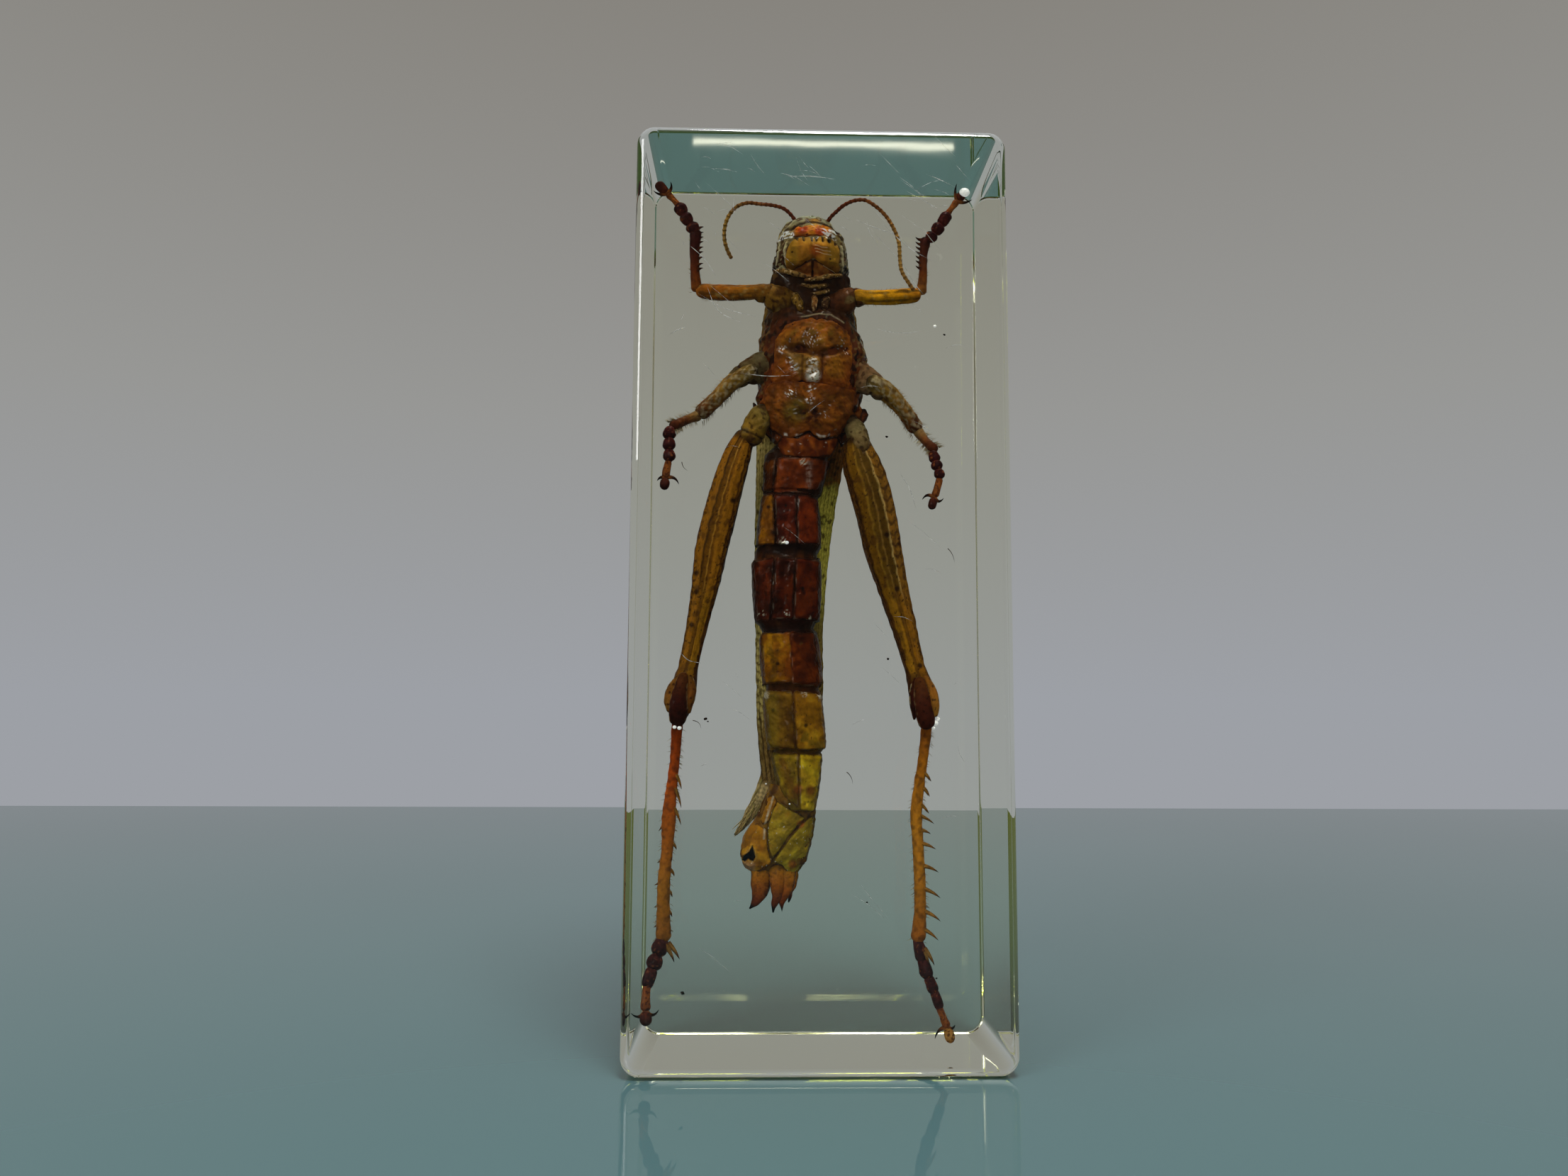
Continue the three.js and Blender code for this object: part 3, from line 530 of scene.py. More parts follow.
grid = ring_points(run_through(THORAX, 230), 220, BODY_FLATNESS)
x, y, z = np.moveaxis(grid, -1, 0)
side_folds = 0.12 * np.cos(2.6 * z + 0.8 * np.abs(x)) * smooth(4.2, 5.4, np.abs(x + 1)) * smooth(92, 88, z)
grid = sink(grid, side_folds - 0.1 * mottle(grid, 1.3, 11))
x, y, z = np.moveaxis(grid, -1, 0)
paint = stops(smooth(97, 74, z), "#281408", "#2a1408", "#4a200a", "#5c2a0e", "#5a200a")
paint = layered(paint, [
    ("#6a4a20", 0.6 * flecks(grid, 2.0, 12, -0.1) * smooth(-4.2, -1, y)),
    ("#7a6438", 0.5 * flecks(grid, 0.8, 14, 0.5) * smooth(4.5, 5.8, np.abs(x + 1))),
    ("#140a06", 0.8 * flecks(grid, 1.1, 13, 0.45)),
    ("#2e180a", 0.85 * smooth(95, 93, z) * smooth(87.6, 89.4, z) * smooth(1, -2, y)),
    ("#8a7a60", 0.7 * line_mask(x, z, [(-2.2, 88.2), (0, 88.7), (1.4, 88.6), (3.0, 87.7)], 0.14))])
make_piece("thorax", [closed_shell(grid, paint)], breast_shell)


def smooth_loop(corners, count):
    """A closed smooth outline through (x, z) corners, evenly spaced."""
    loop = np.array([*corners, *corners[:3]], float)
    loop = np.column_stack([loop[:, 0], np.zeros(len(loop)), loop[:, 1]])
    fine = run_through(loop, 40 * len(loop))
    length = np.linalg.norm(np.diff(loop, axis=0), axis=1)
    first, last = length[0] / length.sum(), (length.sum() - length[-1]) / length.sum()
    picks = np.linspace(first, last, count + 1)[:-1] * (len(fine) - 1)
    return np.column_stack([np.interp(picks, np.arange(len(fine)), fine[:, k]) for k in (0, 2)])


def plate_grid(corners, surface, rise, bury=0.5, rows=46, around=200, roundness=0.3):
    """A plate laid on a surface: rings from the middle of its smooth closed outline to its edge,
    raised by rise times (1 - r^2)^roundness, then back inside below the surface."""
    rim = smooth_loop(corners, around)
    middle = rim.mean(axis=0)
    r = np.concatenate([np.sin(np.linspace(0.02, 1, rows) * np.pi / 2), np.linspace(0.97, 0.1, 6)])
    x = middle[0] + r[:, None] * (rim[:, 0] - middle[0])
    z = middle[1] + r[:, None] * (rim[:, 1] - middle[1])
    lift = np.where(np.arange(len(r)) < rows, rise * np.clip(1 - r**2, 0, 1) ** roundness, -bury)
    return np.stack([x, surface(x, z) - lift[:, None], z], axis=-1)


MESO_OUTLINE = [
    (-0.7, 88.0), (-2.6, 87.7), (-4.1, 87.1), (-5.2, 85.7), (-5.5, 84.4), (-5.5, 82.6), (-5.9, 80.2),
    (-3.6, 80.1), (-1.2, 80.0), (0.8, 79.7), (2.2, 79.5), (3.8, 79.5), (3.8, 80.9), (3.9, 82.8),
    (4.0, 85.0), (3.4, 86.5), (1.9, 87.6)]
META_OUTLINE = [
    (-5.9, 79.9), (-6.9, 78.6), (-7.6, 77.4), (-6.7, 75.8), (-5.5, 74.2), (-4.3, 73.4), (-2.5, 73.4),
    (-1.4, 74.0), (0.1, 73.2), (1.0, 73.3), (2.4, 73.9), (4.1, 75.2), (5.6, 76.6), (5.1, 78.0),
    (4.1, 79.4), (0.8, 79.7), (-2, 79.95)]
MESO_CENTRE = [(-2.0, 83.1), (0.25, 83.1), (0.25, 79.9), (-2.0, 79.9)]
MESO_OCHRE = [(-4.6, 84.0), (-3.6, 84.0), (0.4, 83.2), (0.3, 79.8), (-2.6, 79.9), (-3.4, 81.4)]
MESO_GROOVE = [(-4.2, 84.3), (-3.4, 83.9), (-2.5, 84.1), (-1.0, 83.5), (0.3, 83.4), (1.5, 83.8), (3.2, 84.3)]
CENTRE_SEAMS = [[(-2.1, 83.2), (-2.15, 80.1)], [(0.35, 83.2), (0.3, 79.8)]]
META_RIDGES = [
    [(-6.6, 78.4), (-4.6, 76.4), (-2.4, 75.2), (-0.6, 75.4), (1.4, 75.2), (3.6, 76.6)],
    [(-2.1, 79.6), (-1.6, 77.4)], [(0.2, 79.5), (-0.6, 77.4)]]
META_RIM = [
    (-4.3, 73.7), (-3.4, 73.35), (-2.5, 73.5), (-1.4, 74.1), (-0.6, 73.7), (0.1, 73.35), (1.0, 73.4),
    (2.1, 74.3)]
MESO_GLINTS = [  # middle, reach and how sparse
    ((-0.8, 80.8), 1.2, -0.6), ((-0.9, 82.3), 0.9, 0.1), ((-1.1, 85.4), 1.5, 0.75),
    ((2.5, 84.9), 0.9, 0.8), ((-3.1, 81.6), 0.8, 0.3), ((-3.7, 82.6), 0.6, 0.4),
    ((-4.6, 84.0), 0.7, 0.3), ((-3.6, 85.2), 0.4, 0.5), ((3.3, 83.8), 0.7, 0.8)]
META_GLINTS = [
    ((-1.2, 77.7), 0.7, 0.1), ((-3.5, 78.6), 0.9, 0.6), ((-2.9, 76.3), 0.4, 0.2),
    ((0.5, 75.9), 0.8, 0.9), ((1.2, 77.6), 0.7, 0.9), ((-0.9, 79.0), 0.8, 0.5)]

# The shield between the middle legs.
grid = plate_grid(MESO_OUTLINE, breast, 0.55)
x, y, z = np.moveaxis(grid, -1, 0)
face = smooth(-2.0, -3.0, y)
dip = 0.32 * line_mask(x, z, MESO_GROOVE, 0.75) + 0.3 * spot_mask(x, z, (-2.5, 84.1), 0.8)
dip = dip + 0.3 * spot_mask(x, z, (1.6, 83.8), 0.8) - 0.22 * smooth(0, 0.5, inside(x, z, MESO_CENTRE))
for seam in CENTRE_SEAMS:
    dip = dip + 0.16 * line_mask(x, z, seam, 0.3)
grid = sink(grid, dip * face - 0.07 * mottle(grid, 0.9, 21) - 0.03 * mottle(grid, 0.35, 22))
paint = stops(smooth(-0.7, 0.9, mottle(grid, 1.7, 23)), "#62380c", "#7e4a10", "#8a4a0e", "#925a12")
paint = layered(paint, [
    ("#863e0a", 0.6 * smooth(83.5, 82.0, z)),
    ("#7e6428", 0.6 * smooth(0.1, 0.6, inside(x, z, MESO_OCHRE))),
    ("#8a5c14", 0.5 * spot_mask(x, z, (1.8, 81.6), 2.0)),
    ("#5e4410", 0.65 * smooth(0.0, 1.2, mottle(grid, 1.2, 37)) * smooth(83.0, 85.5, z)),
    # Darker along the groove, and painted shade in its two pits on this line and the next.
    ("#3a1a08", 0.8 * line_mask(x, z, MESO_GROOVE, 0.6) + 0.9 * spot_mask(x, z, (-2.4, 84.1), 1.0)),
    ("#2a1206", 0.8 * spot_mask(x, z, (1.7, 83.8), 0.9)),
    ("#3a1a08", 0.7 * np.maximum(*[line_mask(x, z, seam, 0.2) for seam in CENTRE_SEAMS])),
    ("#4a2408", 0.7 * flecks(grid, 0.5, 24, 1.0)),
    ("#6a3008", 0.6 * smooth(1.6, 0.2, inside(x, z, MESO_OUTLINE))),
    ("#3a1a0c", 0.8 * spot_mask(x, z, (2.6, 86.7), 1.2) * flecks(grid, 0.8, 25, -0.1))])
for middle, reach, cut in MESO_GLINTS:
    glint = spot_mask(x, z, middle, reach) * flecks(grid, 0.34, int(10 * reach), cut)
    paint = glinting(paint, "#d8d2c4", 0.75, glint)
shells = [closed_shell(grid, paint)]

# The broad plate between the hind legs, with a scalloped shiny edge.
grid = plate_grid(META_OUTLINE, breast, 0.5)
x, y, z = np.moveaxis(grid, -1, 0)
face = smooth(-2.0, -3.0, y)
dip = 0.3 * spot_mask(x, z, (-2.1, 76.3), 0.7) + 0.3 * spot_mask(x, z, (-0.6, 76.2), 0.7)
for ridge in META_RIDGES:
    dip = dip - 0.14 * line_mask(x, z, ridge, 0.5)
grid = sink(grid, dip * face - 0.08 * mottle(grid, 1.0, 26) - 0.03 * mottle(grid, 0.35, 27))
paint = stops(smooth(-0.7, 0.9, mottle(grid, 1.9, 28)), "#5c300a", "#7c4410", "#743a0e", "#884a10")
paint = layered(paint, [
    ("#5e4c12", 0.7 * spot_mask(x, z, (-2.8, 76.4), 2.2)),
    ("#54340c", 0.6 * smooth(0.2, 1.2, mottle(grid, 1.1, 38))),
    ("#2c0e08", 0.85 * spot_mask(x, z, (-0.9, 75.9), 1.5) * flecks(grid, 0.9, 29, -0.4)),
    # Painted shade in the two pits.
    ("#1c0a06", 0.9 * spot_mask(x, z, (-2.1, 76.2), 0.6) + 0.9 * spot_mask(x, z, (-0.6, 76.1), 0.6)),
    ("#2a1006", 0.8 * line_mask(x, z, [(-6.0, 79.9), (-2.8, 79.95)], 0.22)
     + 0.8 * line_mask(x, z, [(1.0, 79.6), (3.9, 79.4)], 0.22)),
    ("#4a2408", 0.7 * flecks(grid, 0.5, 30, 1.0)),
    ("#6a3008", 0.6 * smooth(1.6, 0.2, inside(x, z, META_OUTLINE)))])
glint = 0.8 * smooth(0.2, 0.05, from_line(x, z, META_RIM)) * smooth(-0.1, 0.9, mottle(grid, 0.8, 31))
for middle, reach, cut in META_GLINTS:
    glint = np.maximum(glint, spot_mask(x, z, middle, reach) * flecks(grid, 0.34, int(90 * reach), cut))
paint = glinting(paint, "#d8d2c4", 0.75, glint)
shells.append(closed_shell(grid, paint))

# The ridged bands that run beside it down to the hind hips, and the first belly shield below it.
WAIST = [[-1.5, 0, 76.0, 4.6, 5.0], [-1.5, 0, 73.6, 4.4, 4.75], [-1.8, 0, 70.4, 4.2, 4.4]]
SHOULDER_BANDS = [
    [(-8.0, 78.0), (-7.5, 77.5), (-6.7, 75.8), (-5.6, 74.2), (-4.5, 73.4), (-5.0, 72.6), (-6.4, 74.0),
     (-7.9, 76.4)],
    [(5.5, 77.4), (6.2, 76.8), (5.3, 75.2), (3.9, 73.8), (2.8, 72.7), (2.3, 73.5), (3.9, 74.8),
     (5.2, 76.0)]]
FIRST_SHIELD = [
    (-5.0, 73.5), (-2.6, 73.2), (-1.4, 73.8), (0.0, 73.0), (1.1, 73.1), (2.5, 73.6), (2.2, 72.5),
    (1.5, 71.2), (-0.4, 70.8), (-2.6, 70.8), (-4.6, 71.1), (-5.1, 72.3)]
for corners, surface, rise, colours, seed in [
        (SHOULDER_BANDS[0], breast, 0.3, ("#4a1e0a", "#6a300f", "#7c3c12"), 124),
        (SHOULDER_BANDS[1], breast, 0.3, ("#4a1e0a", "#6a300f", "#7c3c12"), 125),
        (FIRST_SHIELD, lambda x, z: on_belly(x, z, WAIST), 0.35, ("#541f07", "#6d2f0b", "#833e0d"), 126)]:
    grid = plate_grid(corners, surface, rise, 0.6, 30, 140)
    grid = sink(grid, -0.06 * mottle(grid, 0.9, seed))
    x, y, z = np.moveaxis(grid, -1, 0)
    paint = stops(smooth(-0.8, 0.8, mottle(grid, 1.3, seed)), *colours)
    paint = tint_with(paint, "#1c0c06", 0.85 * smooth(0.25, 0.05, inside(x, z, corners)))
    glint = flecks(grid, 0.35, seed + 3, 1.5)
    shells.append(closed_shell(grid, glinting(paint, "#c8b8a0", 0.6, glint)))
make_piece("breast_plates", shells, breast_shell)

# ------------------------------------------------------------------ abdomen
# Seven telescoping rings of thin shell, each a belly plate between two wrapped side plates,
# joined by folds of softer skin, painted near black as painted shade in the upper gaps
# between rings and the skin's own brown in the lower ones.

ABDOMEN_RINGS = [
    [74.6, 71.6, -5.0, 1.9, -4.8, 1.7, 4.7],
    [71.6, 66.9, -6.6, 1.4, -6.8, 0.4, 4.4],
    [66.9, 60.0, -6.9, 0.0, -7.7, 0.5, 4.4],
    [58.9, 50.7, -8.2, 0.5, -7.7, 0.3, 4.5],
    [49.9, 43.4, -7.2, -0.1, -6.7, 0.7, 4.2],
    [42.7, 35.6, -6.7, 0.4, -6.0, 1.1, 4.0],
    [35.3, 28.4, -5.7, 0.7, -4.2, -0.1, 3.8],
]
ABDOMEN_BACK = 4.4
SEGMENT_LAP = 0.35

runs = []
for top, bottom, left_top, right_top, left_bottom, right_bottom, belly in ABDOMEN_RINGS:
    t = np.linspace(0.0, 1.0, 46)
    inset = SEGMENT_LAP * (1 - smooth(0.0, 0.1, t)) - SEGMENT_LAP / 2 * np.sin(np.pi * t)
    inset += 1.2 * SEGMENT_LAP * smooth(0.975, 1.0, t)
    left = left_top + (left_bottom - left_top) * t + inset
    right = right_top + (right_bottom - right_top) * t - inset
    z = top + (bottom - top) * t
    runs.append(np.column_stack([
        (left + right) / 2, 0 * t, z, (right - left) / 2, belly - inset, ABDOMEN_BACK - inset]))
abdomen_run = np.concatenate([[[-1.5, 0, 76.0, 3.4, 4.4, 4.0]], *runs])
grid = ring_points(abdomen_run, 120, BODY_FLATNESS, round_ends=(False, False))
grid = sink(grid, 0.1 - 0.03 * mottle(grid, 1.6, 31) - 0.02 * mottle(grid, 0.5, 32))
x, y, z = np.moveaxis(grid, -1, 0)
paint = stops(smooth(75, 28, z), "#2a140a", "#2c140a", "#4a280e", "#2c100a", "#4a2010", "#5a3810", "#6a5416")
paint = layered(paint, [
    ("#5c3c12", 0.6 * smooth(0.2, 1.2, mottle(grid, 1.8, 33)) * smooth(52, 49, z)),
    ("#140a08", 0.75 * smooth(0.2, 1.2, mottle(grid, 1.2, 34)))])
# Painted shade in the upper gaps between rings; the lower gaps keep the skin's brown.
for seam_height, colour in ((60.0, "#120808"), (50.2, "#160a08"), (43.0, "#42200c"), (35.4, "#5a3a10")):
    paint = tint_with(paint, colour, 0.85 * smooth(1.0, 0.5, np.abs(z - seam_height + 0.5)))
shells = [closed_shell(grid, paint)]


def belly_surface(x, z):
    """The depth of the abdomen's front at (x, z)."""
    return on_belly(x, z, abdomen_run)


def panel_outline(corners):
    """A four-sided outline whose corners stay crisp: points near both ends of each side."""
    loop = np.array([*corners, corners[0]])
    shares = (0.05, 0.3, 0.7, 0.95)
    return [tuple(a + (b - a) * share) for a, b in zip(loop[:-1], loop[1:]) for share in shares]


BELLY_PANELS = [  # corners from the upper left, clockwise, and colours from dull to bright
    ([(-5.0, 70.8), (1.5, 70.8), (-0.1, 66.5), (-5.5, 66.5)], ("#541f07", "#742e0a", "#873c0c")),
    ([(-6.7, 70.6), (-5.2, 70.7), (-5.6, 66.6), (-6.8, 66.6)], ("#2f1306", "#4b2208", "#60300b")),
    ([(-5.4, 66.2), (-2.75, 66.2), (-2.7, 60.3), (-5.1, 60.2)], ("#370e05", "#4c1606", "#5a1d08")),
    ([(-2.65, 66.2), (-0.2, 66.0), (0.3, 60.3), (-2.6, 60.3)], ("#511a06", "#672207", "#772a09")),
    ([(-6.8, 66.3), (-5.6, 66.3), (-5.3, 60.2), (-7.5, 60.2)], ("#653808", "#844c0a", "#935a0c")),
    ([(-5.2, 58.6), (-2.9, 58.6), (-3.1, 51.1), (-5.7, 51.1)], ("#2c0c02", "#421203", "#501b04")),
    ([(-2.8, 58.6), (0.2, 58.4), (0.1, 51.1), (-3.0, 51.1)], ("#340e03", "#4a1503", "#5a2005")),
    ([(-8.0, 58.2), (-5.4, 58.6), (-5.9, 51.0), (-7.6, 50.9)], ("#300f04", "#471504", "#5e2206")),
    ([(-7.0, 49.5), (-3.3, 49.6), (-3.2, 43.7), (-6.4, 43.5)], ("#774206", "#945c07", "#ac7509")),
    ([(-3.45, 49.6), (-0.5, 49.5), (0.5, 43.0), (-3.2, 43.4)], ("#391203", "#511d03", "#672904")),
    ([(-6.5, 42.5), (-3.1, 42.5), (-2.75, 35.6), (-5.8, 36.0)], ("#54380c", "#704c10", "#886214")),
    ([(-3.0, 42.5), (0.4, 42.4), (1.0, 35.7), (-2.65, 35.5)], ("#84560c", "#a06e10", "#b48416")),
    ([(-5.5, 35.2), (-2.4, 35.2), (-2.3, 28.8), (-4.4, 30.3)], ("#68500e", "#846610", "#9c7e14")),
    ([(-2.3, 35.2), (0.6, 35.1), (-0.3, 28.2), (-2.2, 28.6)], ("#967410", "#b08e12", "#c4a618")),
]
BELLY_SPOTS = [
    (-5.4, 40.3), (-1.5, 38.5), (-2.0, 54.8), (-5.6, 61.6), (-6.1, 64.8), (-4.9, 45.8), (0.1, 31.2)]
BELLY_GLINTS = [  # middle, reach and how sparse
    ((-1.9, 70.2), 0.6, -0.2), ((-4.3, 60.5), 0.7, 0.0), ((-6.3, 42.1), 0.6, -0.6),
    ((-1.7, 42.2), 0.5, -0.2), ((0.2, 41.9), 0.5, -0.2), ((-3.7, 51.8), 0.6, 0.5),
    ((-1.2, 51.3), 0.4, 0.2), ((-2.0, 33.6), 0.3, 0.0), ((-6.9, 51.8), 0.7, 0.9)]
BELLY_STAINS = [  # middle line, colour and reach
    ([(-3.8, 49.4), (-3.6, 46.5), (-3.5, 43.6)], "#7a3206", 0.8),
    ([(-5.6, 47.2), (-5.3, 45.4), (-5.6, 44.2)], "#3c2c08", 0.7),
    ([(-4.4, 41.2), (-3.9, 38.8), (-3.5, 36.4)], "#4c2a0a", 1.1),
    ([(-1.8, 37.2), (-0.8, 36.4), (0.4, 36.2)], "#6a5812", 0.7),
    ([(-4.3, 34.4), (-3.7, 32.4), (-3.0, 30.2)], "#6a3c0c", 0.8),
    ([(-2.3, 48.8), (-1.6, 46.5), (-1.9, 44.2)], "#3a1406", 0.9)]
for seed, (corners, colours) in enumerate(BELLY_PANELS):
    outline = panel_outline(corners)
    grid = plate_grid(outline, belly_surface, 0.24, 0.45, 28, 120, 0.2)
    x, y, z = np.moveaxis(grid, -1, 0)
    border = inside(x, z, corners)
    hammered = 0.06 * mottle(grid, 1.6, seed + 130)
    grid = sink(grid, 0.16 * smooth(0.4, 1.3, border) - hammered - 0.03 * mottle(grid, 0.5, seed + 131))
    x, y, z = np.moveaxis(grid, -1, 0)
    paint = stops(smooth(-1.2, 1.2, mottle(grid, 2.4, seed + 132)), *colours)
    paint = tint_with(paint, colours[0], 0.75 * smooth(0.3, 1.4, mottle(grid, 1.1, seed + 133)))
    rim = smooth(0.3, 0.05, border)
    paint = layered(paint, [
        ("#1c0c06", 0.75 * rim * smooth(43, 46, z) + 0.7 * flecks(grid, 0.4, seed + 134, 1.5)),
        ("#4c2c0c", 0.8 * rim * smooth(46, 43, z))])
    for stain, colour, reach in BELLY_STAINS:
        near = smooth(reach, 0.3 * reach, from_line(x, z, stain) + 0.25 * mottle(grid, 0.9, seed + 136))
        paint = tint_with(paint, colour, 0.55 * near)
    for spot in BELLY_SPOTS:
        paint = tint_with(paint, "#140a06", 0.9 * spot_mask(x, z, spot, 0.35))
    near_tail = spot_mask(x, z, (-0.9, 30.9), 0.8) + spot_mask(x, z, (-2.4, 31.0), 0.8)
    paint = tint_with(paint, "#7a3c10", 0.8 * near_tail)
    # A painted sheen: a soft pale streak down the second belly plate.
    painted_sheen = np.exp(-((x + 1.2) / 0.32) ** 2) * smooth(66.4, 67.4, z) * smooth(70.9, 70.2, z)
    paint = tint_with(paint, "#a08478", np.clip(0.35 + 0.25 * mottle(grid, 0.4, 137), 0, 1) * painted_sheen)
    olive = smooth(-4.4, -5.2, x) * smooth(43, 42, z)
    paint = tint_with(paint, "#75641a", 0.4 * olive)
    lip = smooth(0.12, 0.03, np.abs(border - 0.14)) * smooth(0.2, 1.0, mottle(grid, 1.6, seed + 135))
    glint = 0.12 * lip
    for middle, reach, sparse in BELLY_GLINTS:
        glint = np.maximum(glint, spot_mask(x, z, middle, reach) * flecks(grid, 0.35, seed + 136, sparse))
    shells.append(closed_shell(grid, glinting(paint, "#c8bca4", 0.7, glint)))
make_piece("abdomen", shells, belly_shell)

# ------------------------------------------------------------------ end of the abdomen
# Three shell plates that turn to the left, parted by pale folds of skin, and the four hard
# hooked valves that the insect digs with.

TAIL = [
    [-2.9, 0, 31.0, 2.9, 3.3, 3.6],
    [-3.3, 0, 29.0, 3.2, 3.2, 3.6],
    [-3.7, 0, 27.4, 3.4, 3.1, 3.5],
    [-4.3, 0, 25.5, 3.75, 2.9, 3.2],
    [-5.2, 0, 23.3, 4.0, 2.6, 2.8],
    [-5.4, 0, 22.0, 3.5, 2.2, 2.4],
    [-5.0, 0, 20.9, 2.3, 1.5, 1.8],
]
TAIL_PLATES = [  # outline, rise, colours
    ([(-5.2, 30.3), (-6.2, 29.9), (-6.7, 28.7), (-7.1, 27.6), (-6.6, 26.9), (-5.8, 27.2), (-5.3, 28.5),
      (-4.9, 29.6)], 0.35, ("#8a5610", "#9c6610", "#a87210")),
    ([(-4.9, 29.6), (-3.8, 28.9), (-2.3, 28.1), (-1.5, 27.6), (-2.3, 26.8), (-3.4, 25.5), (-4.8, 23.5),
      (-5.4, 22.8), (-5.85, 24.2), (-6.0, 26.2), (-5.6, 28.0)], 0.5, ("#866a14", "#9a7c18", "#a88c1e")),
    ([(-0.4, 27.6), (-0.6, 25.5), (-1.25, 23.2), (-2.3, 21.1), (-3.1, 20.7), (-4.3, 22.0), (-5.2, 22.6),
      (-4.7, 23.4), (-3.35, 25.3), (-1.8, 27.0), (-1.1, 27.6)], 0.5, ("#8a7014", "#a08418", "#b09820")),
    ([(-7.2, 26.9), (-8.2, 26.0), (-8.8, 24.7), (-9.15, 23.4), (-8.9, 22.1), (-8.2, 21.4), (-7.3, 21.2),
      (-6.2, 21.8), (-5.5, 22.5), (-5.95, 24.2), (-6.15, 26.2)], 0.45, ("#905a0c", "#a46e0e", "#b07c10")),
]
TORN_HOLE = [
    (-7.7, 24.4), (-8.1, 23.7), (-8.8, 23.1), (-9.0, 22.5), (-8.6, 22.3), (-8.2, 22.7), (-7.6, 22.4),
    (-7.3, 23.0)]
SKIN_FILM = [(-5.3, 30.1), (-5.7, 28.9), (-6.05, 27.7), (-6.3, 26.7), (-6.4, 25.2)]
VALVES = [
    [[-6.7, -0.6, 22.2, 1.1, 0.8], [-6.75, -1, 20.3, 1.15, 0.8], [-6.9, -1.2, 18.7, 0.95, 0.7],
     [-7.35, -1.3, 17.7, 0.46, 0.4], [-8.05, -1.2, 16.9, 0.07, 0.1]],
    [[-6.1, 0.1, 21.6, 0.73, 0.7], [-6, -0.1, 20, 0.6, 0.6], [-6.1, -0.2, 18.9, 0.4, 0.4],
     [-6.5, -0.2, 18, 0.1, 0.1]],
    [[-4.9, -0.8, 22.4, 1.1, 0.9], [-4.75, -1.3, 20.4, 0.98, 0.9], [-4.75, -1.5, 18.7, 0.7, 0.7],
     [-5.1, -1.5, 17.5, 0.35, 0.35], [-5.25, -1.4, 16.5, 0.07, 0.1]],
    [[-3.6, -0.8, 21.9, 1.08, 0.9], [-3.55, -1.2, 20.2, 0.9, 0.8], [-3.8, -1.3, 18.7, 0.6, 0.6],
     [-4.25, -1.3, 17.5, 0.28, 0.35], [-4.2, -1.2, 16.5, 0.06, 0.1]],
    [[-2.9, -0.4, 21.6, 0.75, 0.7], [-2.95, -0.6, 20, 0.55, 0.6], [-3.2, -0.7, 18.6, 0.3, 0.4],
     [-3.4, -0.7, 17.6, 0.06, 0.1]],
]


def grown(stations, around=48, flatness=1.0, unevenness=0.04, seed=0, round_ends=(True, True), step=0.15):
    """A skin through stations with a row every step in mm, made a little uneven, and how far
    along it each row lies, from 0 to 1."""
    s = np.asarray(stations, float)
    length = np.linalg.norm(np.diff(s[:, :3], axis=0), axis=1).sum()
    grid = ring_points(run_through(s, max(8, int(length / step))), around, flatness, round_ends)
    if unevenness:
        grid = grid + outward(grid) * (unevenness * mottle(grid, 1.1, seed))[..., None]
    return grid, np.linspace(0, 1, len(grid))[:, None] * np.ones(around)


def tail_surface(x, z):
    """The depth of the front of the abdomen's end at (x, z)."""
    return on_belly(x, z, TAIL)


grid, t = grown(TAIL, 150, BODY_FLATNESS, 0.06, 40, (False, True), 0.1)
x, y, z = np.moveaxis(grid, -1, 0)
paint = stops(smooth(-0.8, 0.8, mottle(grid, 1.2, 41)), "#4c2c0c", "#6c4612", "#7a5616")
paint = layered(paint, [
    ("#94600f", 0.85 * smooth(-6.8, -7.4, x) * smooth(27.8, 26.8, z)),
    # Painted shade inside the torn hole.
    ("#120806", smooth(-0.3, -0.1, inside(x, z, TORN_HOLE)) * smooth(1.5, 0.5, y))])
shells = [closed_shell(grid, paint)]
for seed, (corners, rise, colours) in enumerate(TAIL_PLATES):
    grid = plate_grid(corners, tail_surface, rise, 0.5, 40, 180, 0.25)
    grid = sink(grid, -0.08 * mottle(grid, 1.3, seed + 42) - 0.03 * mottle(grid, 0.4, seed + 43))
    x, y, z = np.moveaxis(grid, -1, 0)
    hole = inside(x, z, TORN_HOLE)
    grid = grid + np.array([0, 1.0, 0]) * (0.8 * smooth(-0.05, 0.2, hole))[..., None]
    paint = stops(smooth(-1.5, 1.5, mottle(grid, 1.5, seed + 44)), *colours)
    paint = layered(paint, [
        ("#8a4a0c", 0.4 * smooth(0.6, 1.5, mottle(grid, 1.4, seed + 45))),
        ("#3c1e0a", 0.8 * smooth(0.17, 0.03, inside(x, z, corners))),
        ("#8a4210", 0.8 * spot_mask(x, z, (-3.0, 22.2), 0.8) + 0.8 * spot_mask(x, z, (-2.1, 26.9), 0.7)),
        ("#a88840", 0.6 * smooth(0.14, 0.05, np.abs(hole + 0.06)) * flecks(grid, 0.5, 48, -0.4)),
        ("#a07a5c", 0.7 * smooth(22.6, 22.1, z) * smooth(-7.2, -7.7, x)),
        # Painted shade inside the torn hole, where the plate is pushed in.
        ("#120806", smooth(0.0, 0.12, hole))])
    torn = smooth(-2.2, 0.2, mottle(grid, 0.5, seed + 46))
    film = 0.6 * smooth(0.2, 0.03, from_line(x, z, SKIN_FILM)) * torn
    paint = shine(tint_with(paint, "#cec6a8", 0.8 * film), 0.5 * film)
    glint = flecks(grid, 0.3, seed + 47, 1.75)
    shells.append(closed_shell(grid, glinting(paint, "#e0dac0", 0.7, glint)))
make_piece("tail_plates", shells, belly_shell)

